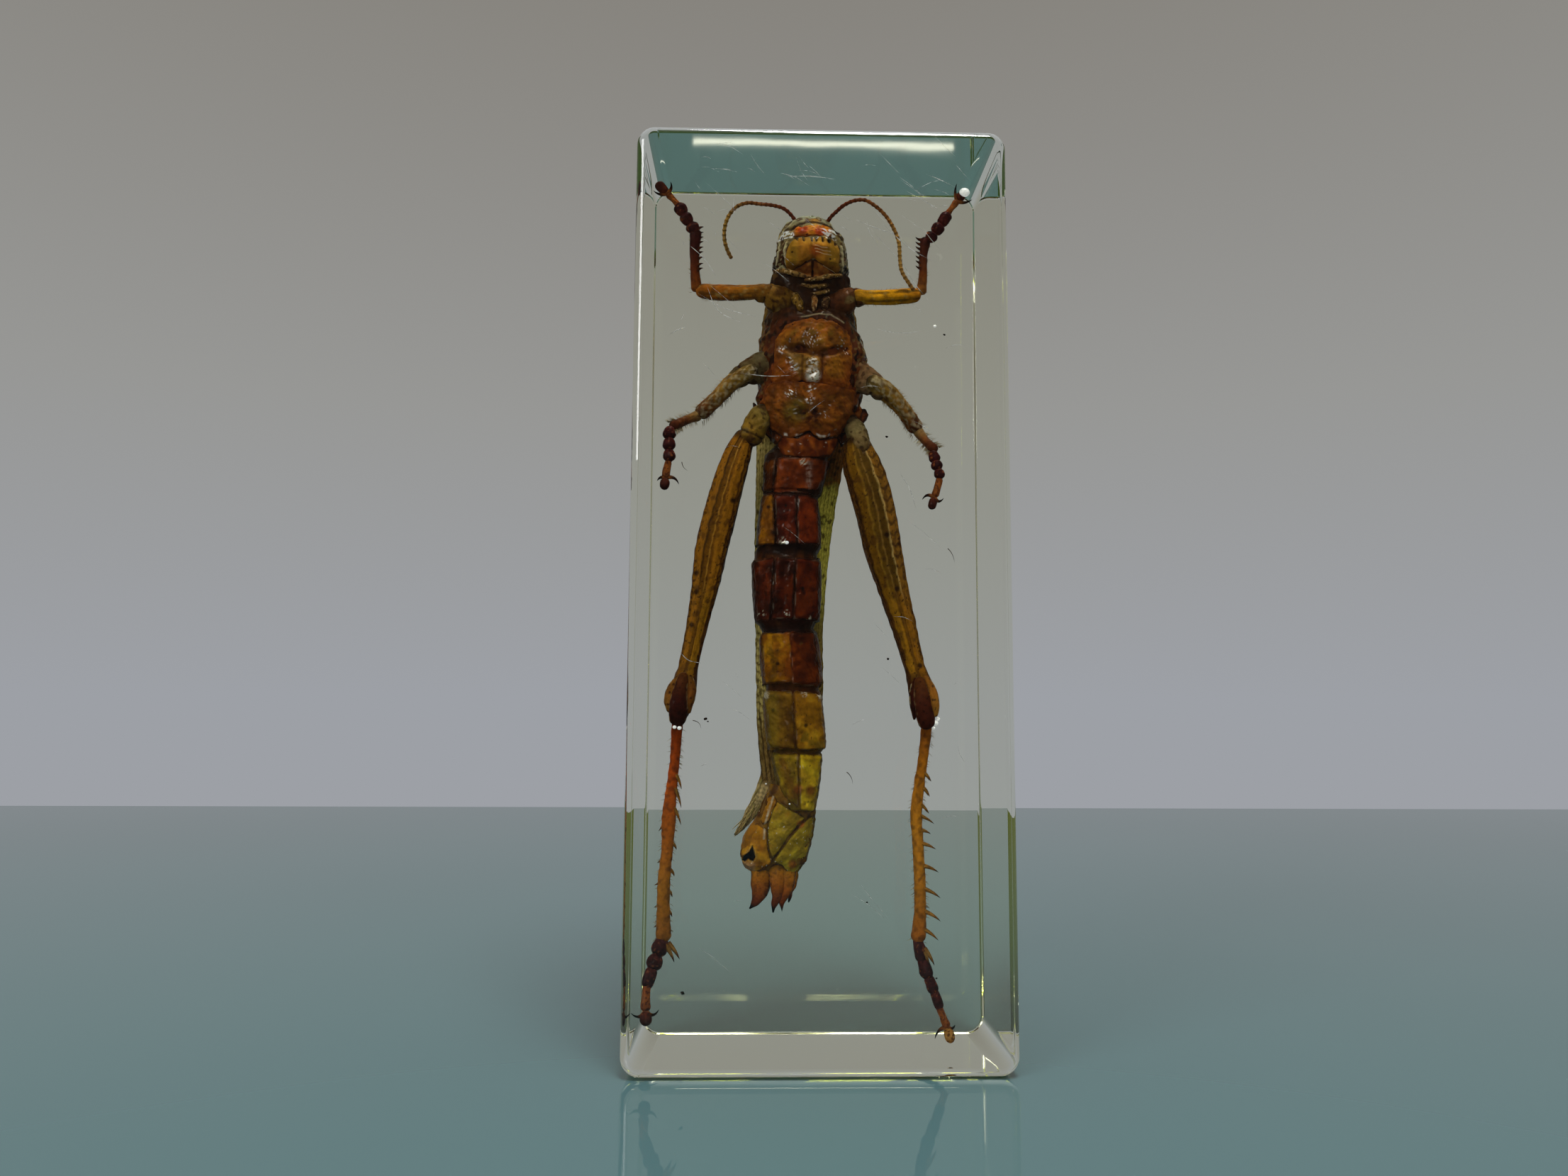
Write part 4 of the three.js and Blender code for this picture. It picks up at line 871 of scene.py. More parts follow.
shells = []
for seed, stations in enumerate(VALVES):
    grid, t = grown(stations, 40, 1.0, 0.05, seed + 50, step=0.08)
    paint = stops(t, "#9a6c0e", "#a0620c", "#8c4a0c", "#6a2c0a", "#0c0604")
    edge = smooth(0.75, 0.98, np.abs(np.cos(np.arange(40) / 40 * 2 * np.pi)))
    paint = layered(paint, [
        ("#3a1a08", 0.6 * edge + 0.5 * flecks(grid, 0.7, seed + 51, 0.8)),
        ("#0c0604", smooth(0.86, 0.93, t))])
    shells.append(closed_shell(grid, paint))
make_piece("digging_valves", shells, horn)

# ------------------------------------------------------------------ head
# One hard capsule with the upper lip, the brow band and the jaws laid on its face, two big
# eyes at its sides, and two ringed feelers.

HEAD = [
    [-0.8, 0.4, 101.9, 0.7, 1.0, 1.4],
    [-0.85, 0.3, 101.2, 1.6, 2.2, 2.6],
    [-0.9, 0.1, 100.5, 2.9, 3.7, 3.8],
    [-1.0, 0, 99.8, 3.8, 4.8, 4.5],
    [-1.0, 0, 98.9, 4.15, 5.4, 4.9],
    [-0.9, 0, 97.0, 4.5, 5.7, 5.2],
    [-1.0, 0, 95.2, 4.75, 5.2, 5.3],
    [-1.0, 0, 93.8, 4.2, 4.0, 5.0],
]
CLYPEUS_TOP = [(-3.5, 99.5), (-2.6, 100.1), (-1.2, 100.45), (0.3, 100.4), (1.4, 100.1), (2.4, 99.4)]
CHEEK_LINES = [
    [(-4.1, 97.8), (-4.3, 96.8), (-4.25, 95.6), (-3.9, 94.8)], [(-4.9, 98.4), (-5.0, 96.8), (-5.3, 95.4)],
    [(2.7, 97.6), (2.85, 96.2), (2.8, 94.6)], [(3.2, 98.4), (3.5, 96.8), (3.6, 95.2)],
    [(-5.4, 94.8), (-4.6, 95.0), (-4.1, 94.4)], [(-3.0, 100.9), (-3.9, 100.0), (-4.6, 99.5)],
    [(1.3, 100.9), (2.2, 100.0), (2.9, 99.5)]]
# The silver on these patches is a painted reflection.
AIR_PATCHES = [  # where air lies under the shell: a line through each, and its half width
    ([(-4.9, 98.8), (-4.5, 99.2), (-3.7, 99.0), (-3.5, 98.6)], 0.42),
    ([(-5.0, 98.5), (-3.5, 98.5)], 0.12), ([(0.5, 99.1), (1.1, 98.6), (1.8, 98.4)], 0.42),
    ([(1.0, 99.3), (2.0, 99.2)], 0.25), ([(-1.5, 101.6), (-1.2, 101.8), (-0.9, 101.6)], 0.14)]
grid, t = grown(HEAD, 220, 0.9, 0.0, 60, (True, False), 0.06)
x, y, z = np.moveaxis(grid, -1, 0)
face = smooth(-1.0, -2.5, y)
lines = np.max([line_mask(x, z, line, 0.16) for line in CHEEK_LINES], axis=0)
dip = 0.14 * face * line_mask(x, z, CLYPEUS_TOP, 0.3) - 0.1 * face * lines
grid = sink(grid, dip - 0.07 * mottle(grid, 0.8, 60) - 0.05 * mottle(grid, 2.0, 59))
x, y, z = np.moveaxis(grid, -1, 0)
paint = stops(smooth(102, 93.8, z), "#7a7c68", "#86703c", "#74603a", "#5c4a2e", "#3a2410", "#1c0e08")
paint = layered(paint, [
    ("#3a1c0c", 0.85 * flecks(grid, 1.1, 61, 0.15)),
    ("#8c7c58", 0.7 * flecks(grid, 0.6, 62, 0.55)),
    ("#9a6c1c", 0.8 * face * spot_mask(x, z, (-0.6, 100.5), 0.9)),
    ("#94967e", 0.8 * smooth(101.2, 101.6, z)),
    ("#b4a884", 0.75 * face * lines),
    ("#240e08", 0.9 * face * line_mask(x, z, CLYPEUS_TOP, 0.26)),
    ("#1c0a06", 0.85 * spot_mask(x, z, (-4.0, 99.6), 0.6) + 0.85 * spot_mask(x, z, (2.3, 99.6), 0.6)),
    ("#140a06", 0.85 * smooth(94.6, 93.9, z))])


def with_air_glints(grid, paint, seed):
    """The paint with a shattered silver look on the patches where air lies under the shell: a painted
    reflection, with air glints there too.
    """
    x, y, z = np.moveaxis(grid, -1, 0)
    near = np.max([smooth(half, 0.5 * half, from_line(x, z, line)) for line, half in AIR_PATCHES], axis=0)
    air = near * smooth(-0.5, -1.5, y) * flecks(grid, 0.5, seed, -0.35)
    return glinting(paint, "#e4e6ea", 0.85, air)


make_piece("head", [closed_shell(grid, with_air_glints(grid, paint, 63))], breast_shell)


def face_surface(x, z):
    """The depth of the front of the head at (x, z)."""
    return on_belly(x, z, HEAD)


CLYPEUS = [
    (-3.4, 98.6), (-3.2, 99.3), (-2.4, 99.9), (-1.1, 100.2), (0.3, 100.2), (1.3, 99.8), (2.0, 99.2),
    (1.9, 98.5), (0.6, 98.3), (-0.6, 98.4), (-2.0, 98.3)]
LABRUM = [
    (-4.0, 96.9), (-3.5, 97.7), (-2.2, 98.2), (-0.2, 98.3), (1.7, 98.0), (2.4, 97.1), (2.5, 95.4),
    (2.4, 94.3), (0.8, 94.6), (-0.2, 95.2), (-0.8, 95.35), (-1.6, 95.2), (-2.6, 94.7), (-3.9, 94.3),
    (-4.2, 95.4)]
JAW_LEFT = [(-3.6, 94.1), (-2.2, 94.8), (-0.95, 95.4), (-0.86, 94.2), (-0.95, 93.1), (-2.2, 93.4)]
JAW_RIGHT = [(2.2, 93.9), (0.8, 93.2), (-0.8, 93.1), (-0.88, 94.2), (-0.8, 95.4), (0.6, 94.8)]
LIP_NOTCHES = [
    (-2.9, 98.0), (-2.1, 98.0), (-1.1, 98.1), (-0.5, 98.0), (0.3, 98.0), (1.1, 97.9), (1.9, 97.6)]
# Fine pale arcs across the labrum.
LIP_PALE_ARCS = [
    [(-0.6, 96.7), (0.4, 96.4), (1.3, 96.4)], [(-0.5, 96.3), (0.5, 96.0), (1.4, 96.0)],
    [(-0.6, 97.1), (0.2, 96.8), (0.9, 96.8)]]
shells = []
grid = plate_grid(CLYPEUS, face_surface, 0.3, 0.6, 40, 160)
grid = sink(grid, -0.05 * mottle(grid, 0.7, 70))
x, y, z = np.moveaxis(grid, -1, 0)
paint = stops(smooth(-0.8, 0.8, mottle(grid, 0.9, 71)), "#9c4c0c", "#b0600e", "#be6e12")
paint = layered(paint, [
    ("#8e300a", spot_mask(x, z, (-2.1, 99.2), 1.0) + spot_mask(x, z, (-0.1, 98.9), 0.85)),
    ("#c47c18", 0.9 * spot_mask(x, z, (-0.9, 99.8), 0.75) + 0.6 * spot_mask(x, z, (-1.2, 98.8), 0.5)),
    ("#6a5c3c", 0.8 * smooth(0.8, 1.6, x) + 0.7 * smooth(-2.8, -3.3, x)),
    ("#4a1a08", 0.8 * smooth(98.7, 98.4, z) + 0.6 * flecks(grid, 0.5, 72, 0.8))])
shells.append(closed_shell(grid, with_air_glints(grid, paint, 63)))

grid = plate_grid(LABRUM, face_surface, 0.6, 0.6, 60, 240)
x, y, z = np.moveaxis(grid, -1, 0)
notches = np.max([line_mask(x, z, [(a, b + 0.5), (a + 0.1, b - 0.3)], 0.22) for a, b in LIP_NOTCHES], axis=0)
groove = line_mask(x, z, [(-0.8, 98), (-0.75, 95.4)], 0.5)
grid = sink(grid, 0.25 * notches + 0.2 * groove - 0.06 * mottle(grid, 1.1, 73))
x, y, z = np.moveaxis(grid, -1, 0)
paint = stops(smooth(-0.8, 0.8, mottle(grid, 1.3, 74)), "#8a5612", "#96601a", "#a86c1c")
paint = layered(paint, [
    ("#8a661a", 0.7 * smooth(1.4, 2.3, np.abs(x + 0.8))),
    ("#b07e24", 0.8 * smooth(97.0, 97.6, z) * smooth(1.9, 1.0, np.abs(x + 0.7))),
    ("#7c300a", 0.85 * spot_mask(x, z, (-0.5, 96.4), 1.15)),
    ("#5a2c0c", 0.7 * smooth(95.2, 94.6, z)),
    # Painted shade in the sunk notches here and along the top edge on the next line, where the labrum meets
    # the clypeus; the next line also holds one dark spot.
    ("#200c06", 0.95 * notches * smooth(-0.6, 0.2, mottle(grid, 0.6, 75))),
    ("#100806", spot_mask(x, z, (1.15, 97.8), 0.45) + 0.9 * smooth(98.05, 98.25, z)),
    ("#1c1006", 0.9 * (spot_mask(x, z, (-3.4, 96.3), 0.2) + spot_mask(x, z, (1.3, 95.5), 0.2))),
    ("#c0a072", 0.7 * np.max([line_mask(x, z, line, 0.09) for line in LIP_PALE_ARCS], axis=0))])
lip_glints = ((-0.35, 98.15), (-0.9, 98.2), (-2.2, 98.3), (0.9, 98.2))
glint = np.max([spot_mask(x, z, middle, 0.24) for middle in lip_glints], axis=0)
shells.append(closed_shell(grid, with_air_glints(grid, glinting(paint, "#f0ead8", 1, glint), 63)))

for corners, seed in [(JAW_LEFT, 76), (JAW_RIGHT, 77)]:
    grid = plate_grid(corners, face_surface, 0.45, 0.6, 30, 120)
    x, y, z = np.moveaxis(grid, -1, 0)
    grid = sink(grid, -0.04 * mottle(grid, 0.7, seed))
    paint = stops(smooth(-0.6, 0.9, mottle(grid, 1.0, seed)), "#6e3a14", "#824a1a", "#8c5622")
    paint = layered(paint, [
        ("#240e08", 0.9 * smooth(0.22, 0.05, inside(x, z, corners))),
        ("#a88c60", 0.7 * line_mask(x, z, [(0.5, 94.75), (1.4, 94.4), (2.3, 94.1)], 0.12))])
    shells.append(closed_shell(grid, paint))
make_piece("face_plates", shells, breast_shell)

MOUTH_FEELERS = [  # jointed: thin crescents across the throat, then the peg between the fore legs
    [[-5.6, -2.6, 94.5, 0.2, 0.2], [-4.2, -4.6, 94.1, 0.34, 0.25], [-2.7, -5.3, 93.5, 0.3, 0.25],
     [-1.0, -5.5, 93.15, 0.14, 0.14]],
    [[2.9, -3.2, 94.0, 0.2, 0.2], [1.5, -4.9, 93.5, 0.3, 0.25], [0.1, -5.4, 93.05, 0.32, 0.25],
     [-1.9, -5.5, 92.75, 0.16, 0.16]],
    [[1.2, -4.4, 92.5, 0.2, 0.2], [-0.3, -5.0, 92.1, 0.28, 0.24], [-2.3, -4.6, 92.4, 0.14, 0.14]],
    [[1.3, -4.0, 91.9, 0.25, 0.25], [0.3, -4.6, 91.4, 0.28, 0.24], [-1.1, -4.6, 91.3, 0.12, 0.12]],
    [[-0.6, -3.6, 91.2, 0.32, 0.3], [-0.6, -4.7, 90.2, 0.38, 0.35], [-0.65, -4.9, 88.9, 0.2, 0.3]],
    [[-3.2, -3.0, 91.6, 0.55, 0.5], [-2.6, -4.2, 90.2, 0.6, 0.5], [-2.2, -4.6, 88.9, 0.3, 0.3]],
    [[1.0, -3.2, 91.0, 0.5, 0.5], [0.7, -4.2, 90.2, 0.5, 0.5], [0.6, -4.5, 89.2, 0.3, 0.3]],
]
FEELER_COLOURS = [("#4a3014", "#7a5a2c", "#5a3a1c")] * 4 + [
    ("#5a3014", "#8a5a2c", "#6a3c1c"), ("#5a3c14", "#7c5a1c", "#5a3a10"), ("#2c1a10", "#4e3620", "#3a1e10")]
shells = []
for seed, (stations, colours) in enumerate(zip(MOUTH_FEELERS, FEELER_COLOURS)):
    grid, t = grown(stations, 24, 1.0, 0.04, seed + 80, step=0.08)
    paint = stops(t, *colours)
    paint = layered(paint, [
        ("#1c0c06", 0.8 * flecks(grid, 0.5, seed + 81, 0.3)),
        ("#b89a6c", 0.7 * flecks(grid, 0.4, seed + 82, 0.8))])
    shells.append(closed_shell(grid, paint))
make_piece("mouth_feelers", shells, leg_shell)


def lump(centre, halves, rows=40, around=48):
    """An egg-shaped skin: centre plus the half sizes times sine and cosine of the two angles."""
    polar = np.linspace(0.02, np.pi - 0.02, rows)[:, None]
    turn = np.linspace(0, 2 * np.pi, around, endpoint=False)
    grid = np.stack([np.sin(polar) * np.cos(turn), np.sin(polar) * np.sin(turn), np.cos(polar) + 0 * turn],
                    axis=-1)
    return np.array(centre) + grid * np.array(halves)


EYES = [((-4.1, 2.0, 98.9), (1.15, 1.9, 1.5)), ((2.3, 2.0, 98.9), (1.15, 1.9, 1.5))]
shells = []
for centre, halves in EYES:
    grid = lump(centre, halves)
    shells.append(closed_shell(grid, stops(smooth(-1, 1, mottle(grid, 0.8, 90)), "#1c120c", "#3a2a1c")))
make_piece("eyes", shells, horn)
grid = lump((-0.8, -0.7, 101.6), (1.05, 1.1, 0.6))
grid = sink(grid, -0.05 * mottle(grid, 0.4, 92))
paint = stops(smooth(-1, 1, mottle(grid, 0.7, 91)), "#6a6a50", "#9a9c80")
make_piece("brow", [closed_shell(grid, paint)], breast_shell)

ANTENNAE = [
    [[-2.3, -0.6, 100.5], [-2.9, -1.3, 101.4], [-3.5, -1.8, 102.1], [-4.4, -2.4, 102.7],
     [-5.6, -3, 102.9], [-7.5, -3, 103.1], [-9.0, -3, 103.2], [-10.3, -3, 102.7], [-11.3, -2.6, 101.6],
     [-11.8, -2.2, 100.1], [-11.8, -1.8, 98.7], [-11.4, -1.4, 97.4], [-10.9, -1, 96.5]],
    [[0.5, -0.6, 100.5], [1.0, -1.3, 101.2], [1.5, -1.7, 101.9], [2.2, -2.2, 102.5], [3.1, -3, 103.1],
     [4.3, -3.3, 103.6], [5.6, -3.4, 103.7], [7.0, -3.5, 102.9], [8.3, -3.6, 101.6], [9.3, -3.7, 99.9],
     [9.9, -3.8, 98.1], [10.0, -4, 96.1], [10.2, -4.2, 94.4], [11.0, -4.4, 92.9], [11.7, -4.6, 91.8]]]
ANTENNA_RADIUS = 0.24
ANTENNA_RING = 0.6  # mm from one ring to the next
shells = []
for points in ANTENNAE:
    line = np.array(points)
    run = run_through(line, 420)
    gone = np.concatenate([[0], np.cumsum(np.linalg.norm(np.diff(run, axis=0), axis=1))])
    radius = ANTENNA_RADIUS * (1 + 0.12 * np.cos(gone / ANTENNA_RING * 2 * np.pi))
    radius = radius + 0.3 * smooth(1.7, 0.9, gone)
    grid = ring_points(np.column_stack([run, radius]), 14)
    t = (gone / gone[-1])[:, None] * np.ones(14)
    paint = stops(t, "#5a2414", "#6a3018", "#7c4c22", "#9a7434", "#7a5428")
    ring = smooth(0.2, 1, np.cos(gone / ANTENNA_RING * 2 * np.pi))[:, None] * np.ones(14)
    paint = tint_with(paint, "#3a1a0c", 0.6 * ring)
    shells.append(closed_shell(grid, paint))
make_piece("antennae", shells, leg_shell)

# ------------------------------------------------------------------ back shield and wings
# The saddle-shaped shield over the thorax with its crest, and the dry folded wings that lie
# as a roof over the abdomen and fray to a point.

SHIELD = [
    [-1.0, 2.6, 95.6, 4.9, 1.8, 3.8], [-1.0, 2.6, 92.0, 5.5, 2.2, 4.6], [-1.0, 2.6, 87.0, 6.1, 2.2, 4.9],
    [-1.0, 2.9, 82.0, 5.6, 2.0, 4.4], [-1.0, 3.6, 78.0, 2.8, 1.6, 3.1]]
CREST = [
    [-1.0, 6.0, 95.4, 0.4, 1.0, 0.9], [-1.0, 6.8, 90.5, 0.5, 1.0, 1.6], [-1.0, 6.8, 84.0, 0.5, 1.0, 1.4],
    [-1.0, 6.0, 78.6, 0.4, 1.0, 0.9]]
shells = []
for seed, (stations, around) in enumerate([(SHIELD, 120), (CREST, 32)]):
    grid, t = grown(stations, around, 0.85, 0.07, seed + 100)
    paint = stops(t, "#7a5a24", "#6a4a1c", "#8a6a2c")
    paint = tint_with(paint, "#3a2210", 0.7 * smooth(0.1, 1, mottle(grid, 1.4, seed + 102)))
    shells.append(closed_shell(grid, paint))
make_piece("back_shield", shells, leg_shell)

WINGS = [
    [-1.0, 3.6, 85.0, 5.6, 2.2, 2.8], [-1.6, 3.8, 77.0, 5.9, 2.4, 2.8], [-2.3, 3.8, 70.0, 5.3, 2.6, 2.8],
    [-3.1, 3.8, 60.0, 4.6, 2.6, 2.6], [-3.4, 3.8, 50.0, 4.15, 2.6, 2.4], [-3.4, 3.7, 40.0, 3.9, 2.4, 2.2],
    [-4.4, 3.5, 32.0, 2.7, 1.9, 1.7], [-7.0, 3.3, 29.0, 1.0, 0.9, 0.9], [-8.7, 3.2, 26.7, 0.5, 0.3, 0.3],
    [-9.9, 3.1, 25.1, 0.06, 0.1, 0.1]]
WING_RAYS = 46  # lengthwise veins round the folded wings
FRAYED_ENDS = [  # x and z of the tips of the torn fibres, and where each leaves the wing
    (-9.9, 25.0, -7.4, 29.0), (-9.4, 25.4, -7.6, 28.4), (-9.1, 26.8, -7.0, 30.2),
    (-8.3, 26.2, -6.9, 28.6), (-8.7, 27.9, -6.7, 31.4), (-7.9, 27.0, -6.4, 29.8),
    (-10.2, 25.9, -8.0, 27.9), (-7.6, 29.6, -6.5, 32.0)]
around = 230
grid, t = grown(WINGS, around, 0.9, 0.0, 110, step=0.22)
angle = np.arange(around) / around * 2 * np.pi + 0 * t
x, y, z = np.moveaxis(grid, -1, 0)
ray = smooth(0.75, 0.95, np.cos(WING_RAYS * angle))
phase = z / 0.75 + 0.35 * np.cos(WING_RAYS / 2 * angle) + 0.2 * mottle(grid, 1.2, 111)
rung = smooth(0.8, 0.95, np.cos(2 * np.pi * phase))
grid = sink(grid, -0.07 * ray - 0.03 * rung - 0.05 * mottle(grid, 1.4, 112))
right = smooth(-2.5, -1.0, x) * smooth(6.6, 5.0, y)
paint = stops(smooth(85, 28, z), "#4a3414", "#8a7428", "#b4a238", "#94803c", "#8c7038", "#a4844a")
paint = layered(paint, [
    ("#e0d05a", 0.9 * right * smooth(69, 67, z) * smooth(50, 56, z)),
    ("#7a4014", 0.85 * smooth(67.0, 69.4, z + 0.8 * mottle(grid, 1.2, 113)) * smooth(6.6, 5.0, y)),
    # The left edge is painted pale: its own golden colour, and painted light where that side turns away from
    # the lamps.
    ("#dcc67c", 0.7 * smooth(-5.2, -6.4, x - 0.06 * (z - 50)) * smooth(76, 73, z) * smooth(6.6, 5.0, y)),
    ("#6e5628", 0.6 * smooth(5.0, 6.0, y)),
    ("#a89864", 0.45 * flecks(grid, 1.4, 114, 0.5) * smooth(5.0, 6.0, y)),
    ("#4a3c14", 0.7 * ray + 0.6 * rung * (1 - ray)),
    ("#3a260c", 0.8 * flecks(grid, 0.9, 115, 0.75))])
left_edge = smooth(-4.6, -5.6, x)
slanting_veins = smooth(0.2, 0.8, np.cos(2 * np.pi * (z + 0.7 * x) / 0.95)) * left_edge * smooth(33, 35, z)
paint = tint_with(paint, "#46300f", 0.65 * slanting_veins * smooth(52, 49, z))
fibres = smooth(0.0, 0.8, np.cos(2 * np.pi * (x + 0.55 * z) / 0.42)) * smooth(32, 30, z)
paint = tint_with(paint, "#6a4c22", 0.6 * smooth(41, 37, z) * smooth(-4.6, -5.4, x))
lengthwise_veins = smooth(0.1, 0.8, np.cos(2 * np.pi * (x + 0.12 * z) / 0.55)) * left_edge
lengthwise_veins = lengthwise_veins * smooth(30.5, 32, z)
paint = layered(paint, [
    ("#2e1c0c", 0.75 * lengthwise_veins * smooth(43, 39, z)),
    ("#dcc08c", 0.85 * smooth(31.8, 30.5, z)),
    ("#4a3018", 0.6 * fibres)])
shells = [closed_shell(grid, paint)]
for tip_x, tip_z, root_x, root_z in FRAYED_ENDS:
    line = np.linspace(0, 1, 30)[:, None]
    run = np.array([root_x, 2.6, root_z]) * (1 - line) + np.array([tip_x, 2.2, tip_z]) * line
    run = run + 0.12 * np.sin(5 * line + tip_z) * [1, 0, 1]
    grid = ring_points(np.column_stack([run, 0.13 * (1 - 0.85 * line[:, 0])]), 8)
    shells.append(closed_shell(grid, stops(line * np.ones(8), "#8a7a44", "#b09a64", "#8a6a3c")))
make_piece("folded_wings", shells, wing_skin)

# ------------------------------------------------------------------ legs
# Six jointed legs of matt shell: hip, thigh, spined shin, and a foot of three lobes, a slim
# last joint, a soft pad and two hooked claws.


def thorn(root, tip, radius, bend=0.0, around=8, rows=9):
    """A spine or claw: a run from root to tip that bows by the bend in mm, whose radius shrinks
    as the square root of what is left, and how far along it each row lies."""
    root, tip = np.array(root, float), np.array(tip, float)
    t = np.linspace(0, 1, rows)
    way = unit(tip - root)
    side = unit(np.cross(way, FAR))
    points = root + (tip - root) * t[:, None] + side * (bend * 4 * t * (1 - t))[:, None]
    run = np.column_stack([points, radius * (0.04 + 0.96 * (1 - t) ** 0.8)])
    return ring_points(run, around, 1.0, (False, False)), t[:, None] * np.ones(around)


def fore_spines(root_x, tip_x, heights):
    """The short even spines on the inner side of a fore shin."""
    return [[(root_x, -2.1, z), (tip_x, -2.4, z + 0.3)] for z in heights]


def spine_row(depth, lift, rows):
    """Spines from (root x, root z, tip x, tip z), rooted at one depth and leaning by the lift."""
    return [[(a, depth, b), (c, depth + lift, d)] for a, b, c, d in rows]


RIGHT_SHIN_SPINES = [
    (12.9, 32.8, 13.7, 31.8), (12.8, 31.0, 13.5, 30.0), (12.5, 29.0, 13.4, 28.0),
    (12.4, 27.7, 14.0, 26.8), (12.4, 26.0, 13.6, 25.6), (12.6, 24.4, 14.2, 23.8),
    (12.7, 21.8, 14.5, 21.1), (12.8, 19.1, 14.7, 18.1), (12.8, 16.5, 14.7, 15.4),
    (12.7, 14.4, 14.4, 13.2)]

MIDDLE_LEG = {  # what the two middle legs share
    "thigh_colours": ("#5e4c24", "#7c5a1e", "#8a6020", "#7a481c", "#3c140c"),
    "shin_colours": ("#8a7044", "#6a3c1c", "#4a2010"),
    "hairs": [("thigh", (0.3, 1.0), 0.7, 90), ("shin", (0.2, 1.0), 0.9, 60), ("shin", (0.72, 1.0), 0.7, 70)],
}
